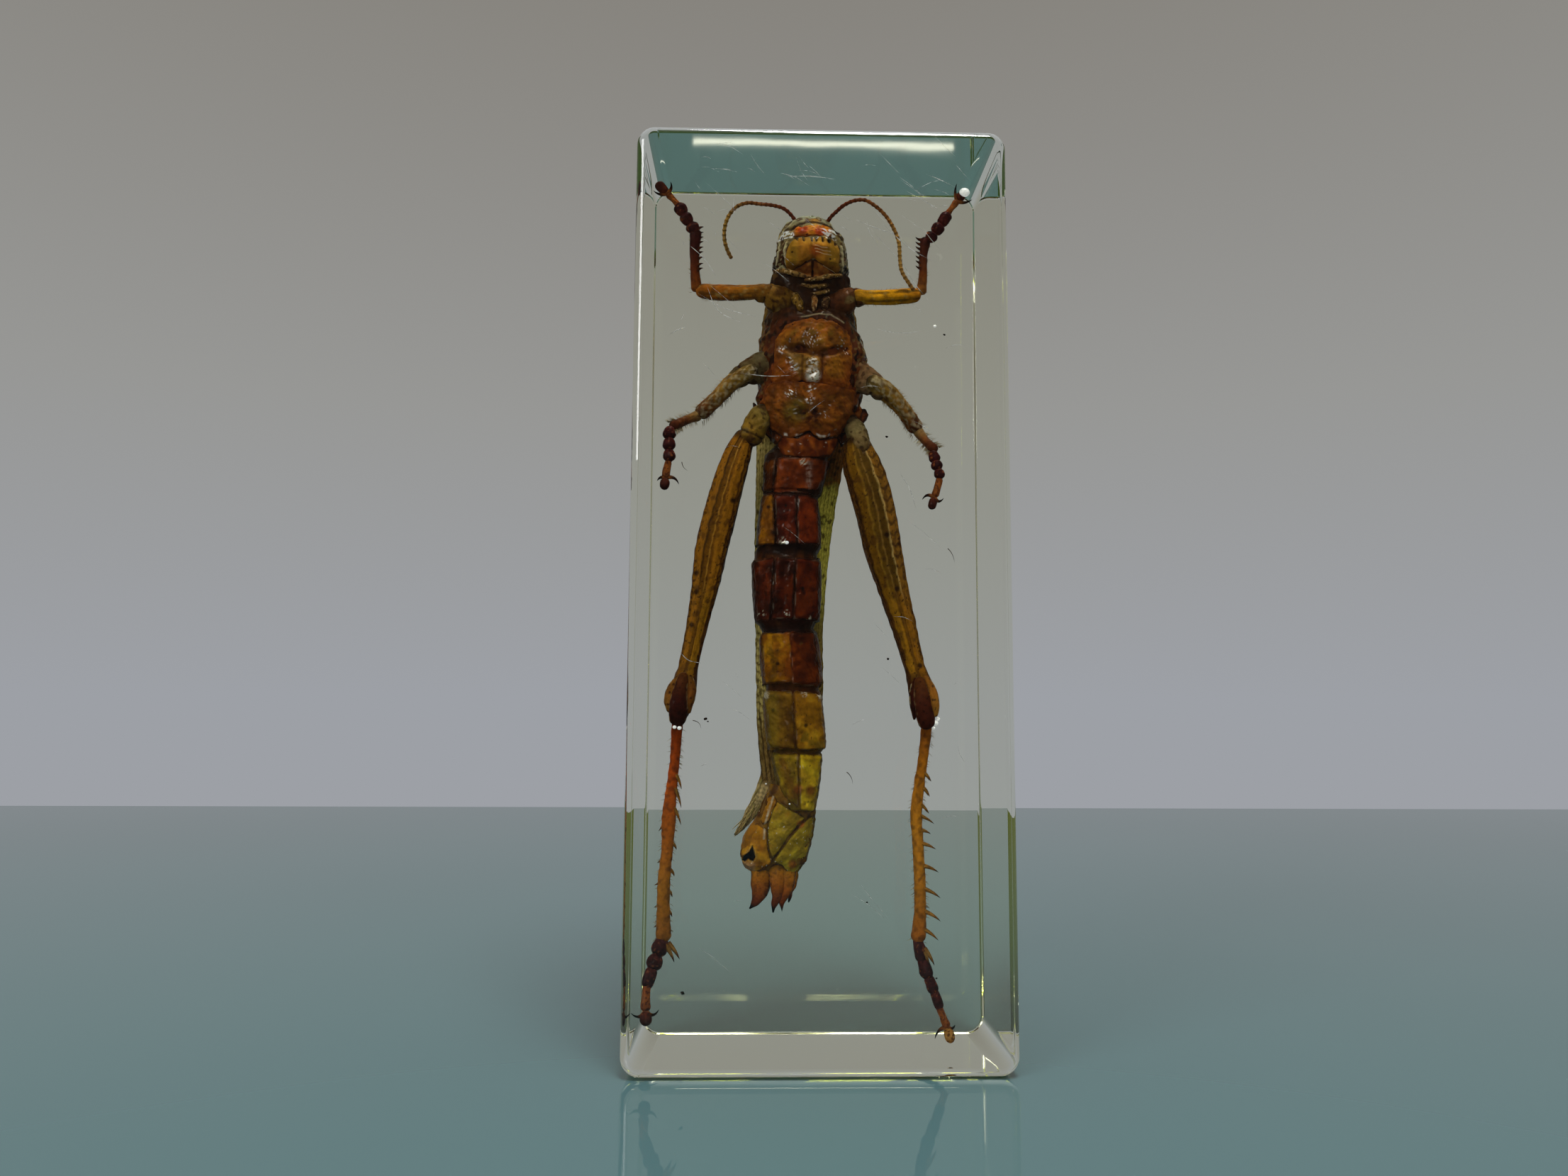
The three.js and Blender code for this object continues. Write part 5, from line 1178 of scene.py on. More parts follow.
# Each leg: stations are [x, y, z, half width, depth], and [x, y, z, radius] in the foot. Colours run
# down the part. Hairs are the limb, from where to where along it, their length and their number.
LEGS = {
    "left_fore_leg": {
        "hip": [[-3.4, -1.8, 90.2, 2.2, 1.7], [-4.8, -2.6, 90.8, 1.9, 1.6],
                [-6.2, -2.9, 91.5, 1.35, 1.3], [-8.2, -2.9, 91.7, 0.95, 0.95]],
        "hip_colours": ("#24140a", "#5e400f", "#785218", "#6a4416"),
        "thigh": [[-5.6, -3.5, 91.9, 0.9, 0.9], [-8.4, -3.1, 91.7, 0.9, 1.0],
                  [-12.0, -2.3, 91.8, 1.0, 1.1], [-15.3, -1.5, 92.2, 0.9, 0.9]],
        "shin": [[-15.2, -1.5, 92.0, 0.75, 0.75], [-15.4, -1.7, 94.0, 0.6, 0.65],
                 [-15.5, -2, 97.4, 0.62, 0.65], [-15.4, -2.2, 100.0, 0.75, 0.75]],
        "spines": fore_spines(-15.2, -14.4, [94.6, 95.2, 96.0, 96.7, 97.3, 98.0, 98.6, 99.2, 99.9]),
        "lobes": [[-15.4, -2.2, 99.5, 0.6], [-16.1, -2.4, 100.6, 0.66], [-16.9, -2.5, 101.75, 0.64],
                  [-17.6, -2.5, 103.0, 0.6]],
        "slim_joint": [[-17.5, -2.5, 102.8, 0.3], [-18.2, -2.5, 103.6, 0.26], [-19.0, -2.5, 104.4, 0.36]],
        "pad": [[-19.0, -2.6, 104.4, 0.34], [-19.7, -2.6, 105.1, 0.46], [-20.3, -2.5, 105.8, 0.4]],
        "claws": [((-20.7, -3, 104.6), 0.25), ((-18.6, -3, 105.8), -0.25)],
        "thigh_colours": ("#5c3a0e", "#88520e", "#8a4c0c", "#7c4410"),
        "shin_colours": ("#7a4014", "#5a260e", "#3a1410", "#2c1010"),
        "hairs": [("thigh", (0.1, 0.9), 0.5, 30), ("shin", (0.0, 0.9), 0.4, 20)],
    },
    "right_fore_leg": {
        "hip": [[1.2, -1.8, 89.8, 2.2, 1.7], [2.6, -2.6, 90.4, 1.9, 1.6],
                [4.0, -2.9, 91.1, 1.35, 1.3], [6.0, -2.9, 91.3, 0.95, 0.95]],
        "hip_colours": ("#24100a", "#44220f", "#5a341a", "#5a3818"),
        "thigh": [[4.0, -3.5, 91.3, 0.9, 0.9], [7.0, -2.9, 91.3, 0.9, 1.0],
                  [9.8, -2.2, 91.6, 0.95, 1.1], [12.8, -1.5, 92.1, 0.9, 0.9]],
        "shin": [[12.8, -1.5, 92.0, 0.7, 0.7], [13.05, -1.7, 94.0, 0.55, 0.6],
                 [13.15, -2, 97.4, 0.55, 0.6], [13.5, -2.2, 99.4, 0.7, 0.7]],
        "spines": fore_spines(12.9, 12.1, [95.3, 96.0, 96.6, 97.2, 97.8, 98.4, 99.0]),
        "lobes": [[13.7, -2.2, 98.9, 0.6], [14.45, -2.4, 99.8, 0.64], [15.3, -2.5, 100.9, 0.64],
                  [16.2, -2.5, 102.3, 0.6]],
        "slim_joint": [[16.1, -2.5, 102.2, 0.3], [16.7, -2.5, 103.1, 0.26], [17.4, -2.5, 104.1, 0.36]],
        "pad": [[17.4, -2.5, 104.0, 0.34], [17.8, -2.5, 104.6, 0.42], [18.3, -2.4, 105.1, 0.3]],
        "claws": [((17.3, -3, 106.1), 0.2), ((19.2, -3, 104.1), -0.25)],
        "thigh_colours": ("#7a5410", "#c88a0c", "#b87c0a", "#9a5c12"),
        "shin_colours": ("#8a5420", "#6a3410", "#4a2010", "#2c1010"),
        "hairs": [("thigh", (0.1, 0.9), 0.5, 40), ("shin", (0.0, 0.9), 0.4, 20)],
    },
    "left_middle_leg": {
        "hip": [[-4.6, -1.2, 82.6, 2.4, 2.0], [-6.6, -2.1, 82.4, 2.15, 1.7],
                [-8.6, -2.6, 81.7, 1.6, 1.4], [-11.0, -2.5, 80.2, 1.0, 1.05]],
        "hip_colours": ("#2a1c10", "#4a3e26", "#54442a", "#564424"),
        "thigh": [[-7.6, -3.9, 81.9, 0.9, 1.0], [-10.5, -2.8, 80.4, 1.0, 1.2],
                  [-12.6, -1.4, 78.5, 0.95, 1.1], [-15.0, 0, 76.5, 1.0, 1.0]],
        "shin": [[-14.7, 0, 76.7, 0.7, 0.7], [-16.2, -2.0, 75.7, 0.55, 0.55], [-17.9, -4.8, 74.4, 0.65,
            0.65]],
        "lobes": [[-18.1, -4.7, 74.3, 0.55], [-18.2, -5.0, 72.9, 0.6], [-18.15, -5.2, 71.5, 0.6],
                  [-18.1, -5.3, 70.1, 0.58]],
        "slim_joint": [[-18.15, -5.3, 70.2, 0.3], [-18.4, -5.4, 69.0, 0.34], [-18.5, -5.4, 67.9, 0.36]],
        "pad": [[-18.5, -5.4, 68.0, 0.36], [-18.6, -5.5, 67.2, 0.42], [-18.65, -5.5, 66.5, 0.34]],
        "claws": [((-16.9, -5.6, 67.2), 0.35), ((-19.5, -5.6, 67.6), -0.2)],
        **MIDDLE_LEG,
    },
    "right_middle_leg": {
        "hip": [[3.0, -1.2, 81.8, 2.4, 2.0], [4.8, -2.1, 81.3, 2.1, 1.7],
                [6.4, -2.6, 80.5, 1.65, 1.4], [8.6, -2.5, 78.8, 1.05, 1.05]],
        "hip_colours": ("#2a1c10", "#6a4a2a", "#70543a", "#5a4828"),
        "thigh": [[5.8, -3.9, 80.8, 0.9, 1.0], [8.0, -3.0, 79.6, 1.2, 1.2],
                  [10.2, -1.8, 77.7, 1.0, 1.1], [12.6, 0, 74.8, 1.0, 1.0]],
        "shin": [[12.4, 0, 75.0, 0.7, 0.7], [13.2, -2.4, 73.3, 0.55, 0.55], [14.1, -4.8, 71.8, 0.65, 0.65]],
        "lobes": [[13.8, -4.7, 71.6, 0.5], [14.1, -5.0, 70.4, 0.56], [14.45, -5.2, 69.4, 0.56],
                  [14.6, -5.3, 68.3, 0.52]],
        "slim_joint": [[14.6, -5.3, 68.4, 0.3], [14.3, -5.4, 67.2, 0.3], [13.9, -5.4, 65.9, 0.36]],
        "pad": [[13.9, -5.4, 65.9, 0.34], [13.65, -5.5, 65.1, 0.38], [13.45, -5.5, 64.4, 0.34]],
        "claws": [((12.4, -5.6, 65.6), -0.35), ((15.0, -5.6, 65.8), -0.35)],
        **MIDDLE_LEG,
    },
    "left_hind_leg": {
        "hip": [[-6.2, -1.8, 77.0, 1.2, 1.6], [-7.2, -2.6, 75.9, 1.5, 1.7],
                [-8.1, -2.9, 74.3, 1.55, 1.8], [-8.9, -2.7, 72.4, 1.3, 1.7]],
        "hip_colours": ("#3a2c1a", "#6e5824", "#84621c", "#3a1c0c"),
        "thigh": [
            [-8.7, -2.9, 74.4, 1.1, 1.3], [-9.9, -2.2, 71.5, 1.6, 2.4], [-11.0, -1.7, 68.0, 1.85, 3.1],
            [-11.9, -1.3, 64.6, 1.95, 3.1], [-13.0, -0.8, 60.0, 1.95, 2.7], [-13.8, -0.4, 55.0, 1.6, 2.0],
            [-14.8, -0.1, 50.0, 1.25, 1.5], [-15.7, 0, 45.5, 1.2, 1.4], [-16.4, 0, 42.0, 1.6, 1.8],
            [-16.8, 0, 38.9, 0.9, 1.1]],
        "shin": [
            [-16.9, 0, 39.4, 0.7, 0.8], [-17.2, 0, 34.0, 0.6, 0.75], [-17.6, 0, 30.0, 0.7, 0.8],
            [-17.8, -0.2, 27.0, 0.85, 0.9], [-17.9, -0.4, 24.0, 0.7, 0.8], [-18.2, -0.8, 20.0, 0.75, 0.85],
            [-18.2, -1.1, 16.0, 0.8, 0.9], [-18.1, -1.4, 13.0, 0.95, 1.0]],
        "spines": [
            *spine_row(-0.4, -0.3, [
                (-17.0, 32.5, -16.3, 30.8), (-17.1, 30.9, -16.3, 28.6), (-17.2, 28.6, -16.3, 26.6),
                (-17.3, 24.4, -16.8, 23.7), (-17.5, 21.3, -17.0, 20.6), (-17.7, 18.9, -17.2, 18.2),
                (-17.7, 16.6, -17.2, 15.9)]),
            *spine_row(-0.4, 0.5, [
                (-18.2, 27.3, -19.0, 25.8), (-18.3, 22.8, -19.1, 22.1), (-18.4, 20.2, -19.4, 19.5),
                (-18.5, 17.7, -19.4, 16.9), (-18.6, 15.4, -19.4, 14.6)]),
        ],
        "lobes": [[-18.2, -1.4, 13.6, 0.85], [-18.8, -1.8, 11.7, 0.95], [-19.35, -2.3, 10.2, 0.98],
                  [-19.9, -2.8, 8.3, 0.75]],
        "slim_joint": [[-19.9, -2.9, 8.5, 0.34], [-19.95, -3.2, 7.0, 0.36], [-19.95, -3.5, 5.6, 0.5]],
        "pad": [[-19.95, -3.5, 5.7, 0.4], [-19.9, -3.6, 4.8, 0.52], [-19.85, -3.7, 4.0, 0.42]],
        "claws": [((-21.6, -3.8, 5.5), 0.45), ((-18.4, -3.8, 5.9), -0.45)],
        "spots": [(-14.8, 56.8), (-14.8, 54.5), (-15.3, 50.5), (-10.4, 65.5)],
        "spurs": [((-17.6, -1.4, 13.0), (-16.2, -1.7, 11.2)), ((-17.9, -1.8, 12.8), (-16.8, -2.0, 10.9)),
                  ((-18.6, -1.2, 13.2), (-19.3, -1.2, 11.7))],
        "knee": [  # the dark middle, then the two lobes beside it, each with its colours
            ([[-16.1, -1.2, 44.8, 0.55, 0.6], [-16.6, -1.7, 42.4, 0.9, 0.9], [-16.75, -1.7, 40.8, 1.15, 1.0],
              [-16.85, -1.3, 39.3, 1.05, 0.9], [-16.9, -0.9, 38.3, 0.85, 0.7]],
              ("#5a3010", "#3a140e", "#2c0e0a")),
            ([[-16.6, -0.9, 44.4, 0.4, 0.6], [-17.5, -1.0, 42.6, 0.75, 0.8], [-17.85, -1.2, 41.3, 0.7, 0.9],
              [-17.8, -1.0, 39.9, 0.25, 0.5]], ("#6a4414", "#7c4c1a", "#8a5c24")),
            ([[-15.7, -0.9, 44.6, 0.4, 0.6], [-15.3, -1.0, 42.8, 0.65, 0.8], [-15.4, -1.2, 41.4, 0.55, 0.9],
              [-15.6, -1.0, 39.8, 0.25, 0.5]], ("#6a4414", "#744216", "#7c4c1a"))],
        "shin_colours": ("#742a0c", "#b84c0c", "#ae5a10", "#a4681a", "#8a5216"),
        "hairs": [("shin", (0.05, 1.0), 0.6, 110)],
    },
    "right_hind_leg": {
        "hip": [[3.9, -1.8, 75.6, 1.1, 1.5], [4.7, -2.6, 74.1, 1.3, 1.6],
                [5.1, -2.9, 72.3, 1.25, 1.7], [5.3, -2.6, 70.2, 0.95, 1.6]],
        "hip_colours": ("#3a2414", "#70603c", "#6e5430", "#4a1c0c"),
        "thigh": [
            [4.4, -2.9, 74.2, 1.2, 1.4], [5.0, -2.2, 71.4, 2.1, 2.4], [6.1, -1.7, 68.0, 2.45, 3.0],
            [7.0, -1.3, 64.8, 2.4, 3.0], [8.0, -0.8, 60.0, 2.25, 2.6], [9.3, -0.4, 55.0, 1.8, 2.0],
            [10.7, -0.1, 50.0, 1.45, 1.5], [11.9, 0, 45.5, 1.25, 1.4], [12.9, 0, 42.0, 1.6, 1.8],
            [13.4, 0, 38.9, 0.9, 1.1]],
        "shin": [
            [13.4, 0, 39.4, 0.7, 0.8], [12.9, 0, 35.0, 0.6, 0.75], [12.3, 0, 31.0, 0.65, 0.75],
            [11.95, 0, 28.3, 0.7, 0.8], [12.1, 0, 25.0, 0.68, 0.8], [12.3, 0, 20.0, 0.7, 0.8],
            [12.3, 0, 16.0, 0.75, 0.9], [12.0, 0, 12.8, 0.95, 1.0]],
        "spines": [*spine_row(-0.4, -0.3, RIGHT_SHIN_SPINES), *spine_row(0.4, 0.8, RIGHT_SHIN_SPINES)],
        "lobes": [[12.0, 0, 13.2, 0.75], [12.5, -0.1, 10.9, 0.78], [13.2, -0.2, 8.9, 0.78],
                  [13.9, -0.2, 7.2, 0.68], [14.5, -0.2, 5.4, 0.6]],
        "slim_joint": [[14.4, -0.2, 5.6, 0.3], [14.95, -0.2, 4.2, 0.3], [15.4, -0.2, 3.1, 0.4]],
        "pad": [[15.4, -0.2, 3.2, 0.34], [15.65, -0.2, 2.2, 0.44], [15.9, -0.2, 1.4, 0.34]],
        "claws": [((16.3, -0.4, 3.5), -0.25), ((13.9, -0.4, 1.9), -0.3)],
        "spots": [(12.4, 45.7), (9.6, 55.0), (8.3, 61.5)],
        "spurs": [((12.7, -0.3, 12.2), (13.9, -0.5, 10.3)), ((12.4, -0.4, 12.0), (13.3, -0.7, 10.4))],
        "knee": [
            ([[12.3, -1.2, 44.4, 0.55, 0.6], [12.5, -1.6, 42.4, 0.95, 0.9], [12.8, -1.6, 40.8, 1.1, 1.0],
              [13.1, -1.3, 39.3, 1.1, 0.9], [13.3, -0.9, 38.0, 0.8, 0.7]], ("#5a3010", "#4a1e10", "#3a140c")),
            ([[12.0, -0.9, 44.4, 0.4, 0.6], [11.8, -1.0, 42.6, 0.65, 0.8], [11.8, -1.0, 41.2, 0.65, 0.8],
              [11.7, -0.8, 39.2, 0.1, 0.3]], ("#4a200c", "#3a120c", "#2c0e0a")),
            ([[12.9, -0.9, 44.6, 0.4, 0.6], [13.7, -1.0, 42.8, 0.7, 0.8], [14.1, -1.5, 41.0, 0.6, 0.9],
              [14.2, -1.3, 39.5, 0.3, 0.5]], ("#7c4c18", "#985e1c", "#a06c28"))],
        "shin_colours": ("#7a3a0e", "#b87014", "#c07c18", "#b87418", "#9a5414"),
        "hairs": [("shin", (0.05, 1.0), 0.6, 90)],
        "pad_colours": ("#8a5a24", "#a87838", "#8a5420"),
    },
}

DARK_PAD = ("#5a2818", "#421a12", "#2c0e0a")
SPINE_COLOURS = {
    "hind": ("#8a5c20", "#8a6024", "#7a4c18", "#140806"), "fore": ("#4a2410", "#3a1a0c", "#140806")}
HAIR_RADIUS = 0.035


def bristles(stations, where, length, count, seed):
    """Fine hairs along a limb between two shares of its length: each starts on the limb's edge,
    at a seeded place and side, and points outwards and down the limb."""
    dice = np.random.default_rng(seed)
    run = run_through(stations, 200)
    along = unit(np.gradient(run[:, :3], axis=0))
    across = unit(np.cross(along, FAR))
    picks = (dice.uniform(*where, count) * 199).astype(int)
    outer = np.sign(1e-9 - np.cross(along[picks], FAR)[:, 2])
    sides = np.where(dice.uniform(size=count) < 0.7, 1, -1) * outer
    hairs = []
    for pick, side, stretch, lean in zip(picks, sides, dice.uniform(0.5, 1.0, count),
                                         dice.uniform(0.3, 0.9, count)):
        root = run[pick, :3] + across[pick] * side * 0.9 * run[pick, 3]
        root = root - FAR * run[pick, 3] * dice.uniform(-0.3, 0.4)
        tip = root + (across[pick] * side + along[pick] * lean) * length * stretch
        grid, t = thorn(root, tip, HAIR_RADIUS, 0.04, 4, 4)
        hairs.append(closed_shell(grid, stops(t, "#7a6444", "#b8a888")))
    return hairs


def in_bands(v, *bands):
    """Colours in lengthwise bands across a limb: from -1 to 1, each band from where the one
    before it ends to its own (end, colour), with soft borders."""
    paint = stops(0 * v, bands[0][1], bands[0][1])
    for (end, _), (_, colour) in zip(bands[:-1], bands[1:]):
        paint = tint_with(paint, colour, smooth(end - 0.05, end + 0.05, v))
    return paint


# Hind thighs across: from the outer edge, -1, to the inner edge, 1. Ridges stand at the borders.
HIND_BANDS = {
    "left": [(-0.9, "#4d2606"), (-0.42, "#8a570e"), (-0.3, "#3d2408"), (-0.04, "#69410c"), (0.02, "#b17d2a"),
             (0.2, "#73450c"), (0.72, "#ac6e14"), (0.8, "#4d2806"), (0.9, "#8a5712"), (1, "#381906")],
    "right": [(-0.92, "#532e09"), (-0.42, "#8b5c1a"), (-0.36, "#cea860"), (0.0, "#53380a"), (0.06, "#8f682c"),
              (0.3, "#5e400b"), (0.4, "#8b641b"), (0.78, "#79500c"), (0.86, "#392008"), (1, "#653c0c")],
}

for number, (name, leg) in enumerate(LEGS.items()):
    seed = 200 + 10 * number
    hind = "hind" in name
    side = 1 if "left" in name else -1  # the inner side of a left leg is towards +x
    shells = []
    grid, t = grown(leg["hip"], 80, 0.9, 0.0, seed, (False, True), 0.08)
    fold = 0.12 * np.exp(-((t - 0.72) / 0.03) ** 2)
    grid = sink(grid, 0.05 * mottle(grid, 0.8, seed) + 0.07 * mottle(grid, 2.2, seed + 1) + fold)
    x, y, z = np.moveaxis(grid, -1, 0)
    paint = stops(t, *leg["hip_colours"])
    paint = layered(paint, [
        ("#3c200c", 0.75 * smooth(0.0, 1.2, mottle(grid, 1.5, seed + 2))),
        ("#7c6a40", 0.45 * smooth(0.5, 1.5, mottle(grid, 1.8, seed + 4)) * smooth(0.2, 0.4, t)),
        ("#2c140a", 0.7 * flecks(grid, 0.7, seed + 5, 0.75) + 0.6 * smooth(0.85, 0.95, t)),
        # Darker along the fold, and painted shade at the root, where the hip goes into the body.
        ("#1c0e08", 0.85 * np.exp(-((t - 0.72) / 0.02) ** 2) + 0.7 * smooth(0.25, 0.1, t))])
    shells.append(closed_shell(grid, paint))

    around = 128 if hind else 72
    grid, t = grown(leg["thigh"], around, 1.0, 0.03, seed + 2)
    angle = np.arange(around) / around * 2 * np.pi + 0 * t
    v = side * np.cos(angle)
    dusk = mottle(grid, 1.3, seed + 6)
    if hind:
        bands = HIND_BANDS[name.split("_")[0]]
        ridge = sum(smooth(0.07, 0.0, np.abs(v - end)) for end, _ in bands[:-1])
        body = smooth(0.02, 0.1, t) * smooth(0.84, 0.76, t)
        grid = sink(grid, -0.09 * ridge * body + 0.05 * np.cos(3 * np.pi * v) * body)
        paint = in_bands(v + 0.04 * dusk, *bands)
        plain = in_bands(v + 0.04 * dusk, (-0.8, "#6a420e"), (-0.2, "#925e12"), (0.1, "#6c440e"),
                         (0.7, "#9c6a12"), (1, "#54300c"))
        lower = smooth(0.5, 0.62, t)[..., None]
        paint = paint * (1 - lower) + plain * lower
        chevron = np.abs((t * 26 + 1.3 * np.abs(v + 0.66)) % 1 - 0.5)
        outer = smooth(-0.34, -0.44, v) * smooth(-0.95, -0.85, v) * smooth(0.55, 0.45, t)
        if side < 0:  # herringbone on the outer face that shows
            paint = tint_with(paint, "#3c2408", 0.7 * outer * smooth(0.2, 0.08, chevron))
            grid = sink(grid, 0.05 * outer * smooth(0.2, 0.05, chevron))
        paint = layered(paint, [
            ("#1c0e06", 0.85 * flecks(grid, 0.42, seed + 7, 1.15)),
            ("#2a1406", 0.8 * flecks(grid, 0.5, seed + 8, 0.5) * smooth(0.7, 0.85, np.abs(v)))])
        for spot in leg["spots"]:
            paint = tint_with(paint, "#1c0c06", 0.9 * spot_mask(grid[..., 0], grid[..., 2], spot, 0.5))
        paint = layered(paint, [
            ("#3a1c0c", smooth(0.82, 0.88, t)),
            ("#140a08", 0.8 * smooth(0.045, 0.02, t))])
    else:
        keels = 0.05 * np.cos(5 * angle) * smooth(0.03, 0.15, t) * smooth(0.95, 0.85, t)
        grid = sink(grid, keels)
        paint = stops(t, *leg["thigh_colours"])
        paint = layered(paint, [
            ("#4a300c", 0.7 * smooth(0.3, 0.9, np.sin(5 * angle + 1.0) + 0.4 * dusk) * smooth(0.1, 0.3, t)),
            ("#94804a", 0.35 * smooth(0.4, 1.4, mottle(grid, 0.7, seed + 7))),
            ("#1c0e06", 0.8 * smooth(0.05, 0.02, t))])
        if "middle" in name:
            near_knee = np.exp(-((t - 0.86) / 0.08) ** 2)
            paint = tint_with(paint, "#4a1a12", 0.85 * near_knee * smooth(-0.6, 0.4, dusk))
            # Paler in patches on the side that faces the viewer.
            front_pallor = smooth(0.3, 0.9, -np.sin(angle)) * smooth(-0.4, 0.8, mottle(grid, 0.6, seed + 9))
            paint = tint_with(paint, "#b0a080", 0.55 * front_pallor)
    paint = tint_with(paint, "#4a2c10", 0.55 * smooth(0.5, 1.1, dusk))
    shells.append(closed_shell(grid, paint))

    grid, t = grown(leg["shin"], 40, 1.0, 0.03, seed + 4)
    paint = stops(t, *leg["shin_colours"])
    paint = tint_with(paint, "#3a1a0c", 0.5 * smooth(0.2, 1.0, mottle(grid, 0.9, seed + 5)))
    shells.append(closed_shell(grid, paint))

    for k, (stations, colours) in enumerate(leg.get("knee", [])):
        grid, t = grown(stations, 48, 1.0, 0.03, seed + 20 + k, step=0.08)
        paint = stops(t, *colours)
        rim = smooth(0.8, 0.97, np.abs(np.cos(np.arange(48) / 48 * 2 * np.pi))) + 0 * t
        # Paler in patches along both side edges of each lobe.
        patchy = smooth(-0.6, 0.8, mottle(grid, 0.8, seed + 21))
        paint = layered(paint, [
            ("#c8b080" if k else "#a88a60", 0.7 * rim * patchy),
            ("#2a100a", 0.8 * flecks(grid, 0.6, seed + 23, 0.8))])
        shells.append(closed_shell(grid, paint))
    for limb, where, length, count in leg["hairs"]:
        shells += bristles(leg[limb], where, length, count, seed + 30)
    make_piece(name, shells, leg_shell)

    shells = []
    lobes = np.array(leg["lobes"])
    for k, (first, last) in enumerate(zip(lobes[:-1], lobes[1:])):
        ahead = (last - first) * [0.14, 0.14, 0.14, 0]
        run = [first - ahead, first + (last - first) * 0.72, last + ahead]
        plump = 1.0 if hind else 1.3
        run[0][3], run[1][3], run[2][3] = 0.72 * plump * first[3], plump * last[3], 0.85 * plump * last[3]
        grid, t = grown(run, 36, 1.0, 0.035, seed + 6 + k, step=0.07)
        paint = stops(t, "#54201a", "#421816", "#301012", "#421816")
        paint = layered(paint, [
            ("#2a0c0a", 0.8 * flecks(grid, 0.6, seed + 7 + k, 0.3)),
            ("#8a4a24", 0.6 * flecks(grid, 0.5, seed + 8 + k, 0.9))])
        shells.append(closed_shell(grid, paint))
    for part, colours in [("slim_joint", ("#7a3c18", "#8a4c1e", "#6a3418")),
                          ("pad", leg.get("pad_colours", DARK_PAD))]:
        plump = np.array(leg[part]) * [1, 1, 1, 1.4]
        grid, t = grown(plump, 32, 1.0, 0.02, seed + 11, step=0.06)
        paint = tint_with(stops(t, *colours), "#3a1810", 0.8 * flecks(grid, 0.4, seed + 12, 0.5))
        shells.append(closed_shell(grid, paint))
    for tip, bend in leg["claws"]:
        grid, t = thorn(leg["pad"][0][:3], tip, 0.3, 1.2 * bend, 14, 20)
        shells.append(closed_shell(grid, stops(t, "#7a4420", "#7a4420", "#2c140c", "#0c0606", "#0c0606")))
    for root, tip in leg.get("spines", []):
        grid, t = thorn(root, tip, 0.26, 0.1)
        shells.append(closed_shell(grid, stops(t, *SPINE_COLOURS["hind" if hind else "fore"])))
    for root, tip in leg.get("spurs", []):
        grid, t = thorn(root, tip, 0.36, 0.12, 14, 20)
        shells.append(closed_shell(grid, stops(t, "#7a4c1c", "#86602c", "#8a6430", "#5a3414", "#0c0606")))
    make_piece(name.replace("leg", "foot"), shells, horn)

# ------------------------------------------------------------------ trapped specks and scratches
# Crumbs and hairs that came off the insect, small air bubbles that stayed in the resin, and
# hair-fine polishing scratches just under the front face.

CRUMBS = [  # x, y, z and size
    (15.9, 0, 87.3, 0.16), (-15.75, -2, 7.4, 0.25), (-13.5, -2, 39.2, 0.22), (8.6, 0, 74.2, 0.18),
    (8.5, -2, 46.5, 0.16), (14.2, 0, 8.7, 0.14), (-13.2, -2, 38.9, 0.12), (5.9, -1, 17.6, 0.13)]
HAIRS = [
    ((-15.0, -2, 39.0), (-14.0, -2, 38.0), 0.3), ((16.1, 0, 60.2), (16.9, 0, 58.4), 0.2),
    ((-16.7, -3, 70.3), (-15.9, -3, 69.2), -0.2), ((3.4, -3, 33.0), (4.1, -3, 31.6), 0.2)]
shells = []
for seed, (x, y, z, size) in enumerate(CRUMBS):
    grid = lump((x, y, z), (size, 0.8 * size, 0.7 * size), 16, 20)
    grid = grid + 0.2 * size * mottle(grid, 0.3, seed + 300)[..., None] * unit(grid - np.array([x, y, z]))
    shells.append(closed_shell(grid, stops(0 * grid[..., 0], "#1c120a", "#1c120a")))
for root, tip, bend in HAIRS:
    grid, t = thorn(root, tip, 0.05, bend)
    shells.append(closed_shell(grid, stops(t, "#3a2a18", "#2a1c10")))
make_piece("loose_crumbs", shells, leg_shell, [])

# Trapped air: its wall throws back light from all sides, so it looks like bright silver.
AIR_GLOW = 0.6  # light gathered from the whole room, which a solid bead would not gather
trapped_air, tree, place = new_material("trapped_air_silver")
ripple = add_node(tree, "ShaderNodeTexNoise", {"Vector": place, "Scale": 1 / (0.4 * MM)})
wall = add_node(tree, "ShaderNodeMix", {
    0: ripple.outputs["Fac"], 6: rgba("#8c9294"), 7: rgba("#ffffff")}, data_type="RGBA")
silver = add_node(tree, "ShaderNodeBsdfPrincipled", {
    "Base Color": wall.outputs[2], "Metallic": 0.3, "Roughness": 0.15,
    "Emission Color": wall.outputs[2], "Emission Strength": AIR_GLOW})
add_node(tree, "ShaderNodeOutputMaterial", {"Surface": silver.outputs["BSDF"]})
BUBBLES = [
    (18.25, -3.0, 105.0, 0.66), (14.7, 0, 88.4, 0.2), (-3.9, -5.2, 60.3, 0.24), (14.25, -1.0, 38.8, 0.38),
    (14.6, -0.9, 39.3, 0.26), (14.0, -1.3, 38.2, 0.22), (-17.2, -1.6, 38.2, 0.24),
    (-16.6, -1.8, 38.1, 0.26), (-6.2, -3.0, 31.6, 0.1), (-3.4, -3.9, 29.3, 0.1)]
shells = [closed_shell(lump((x, y, z), (size, size, 0.85 * size), 24, 32)) for x, y, z, size in BUBBLES]
make_piece("air_bubbles", shells, trapped_air, [])

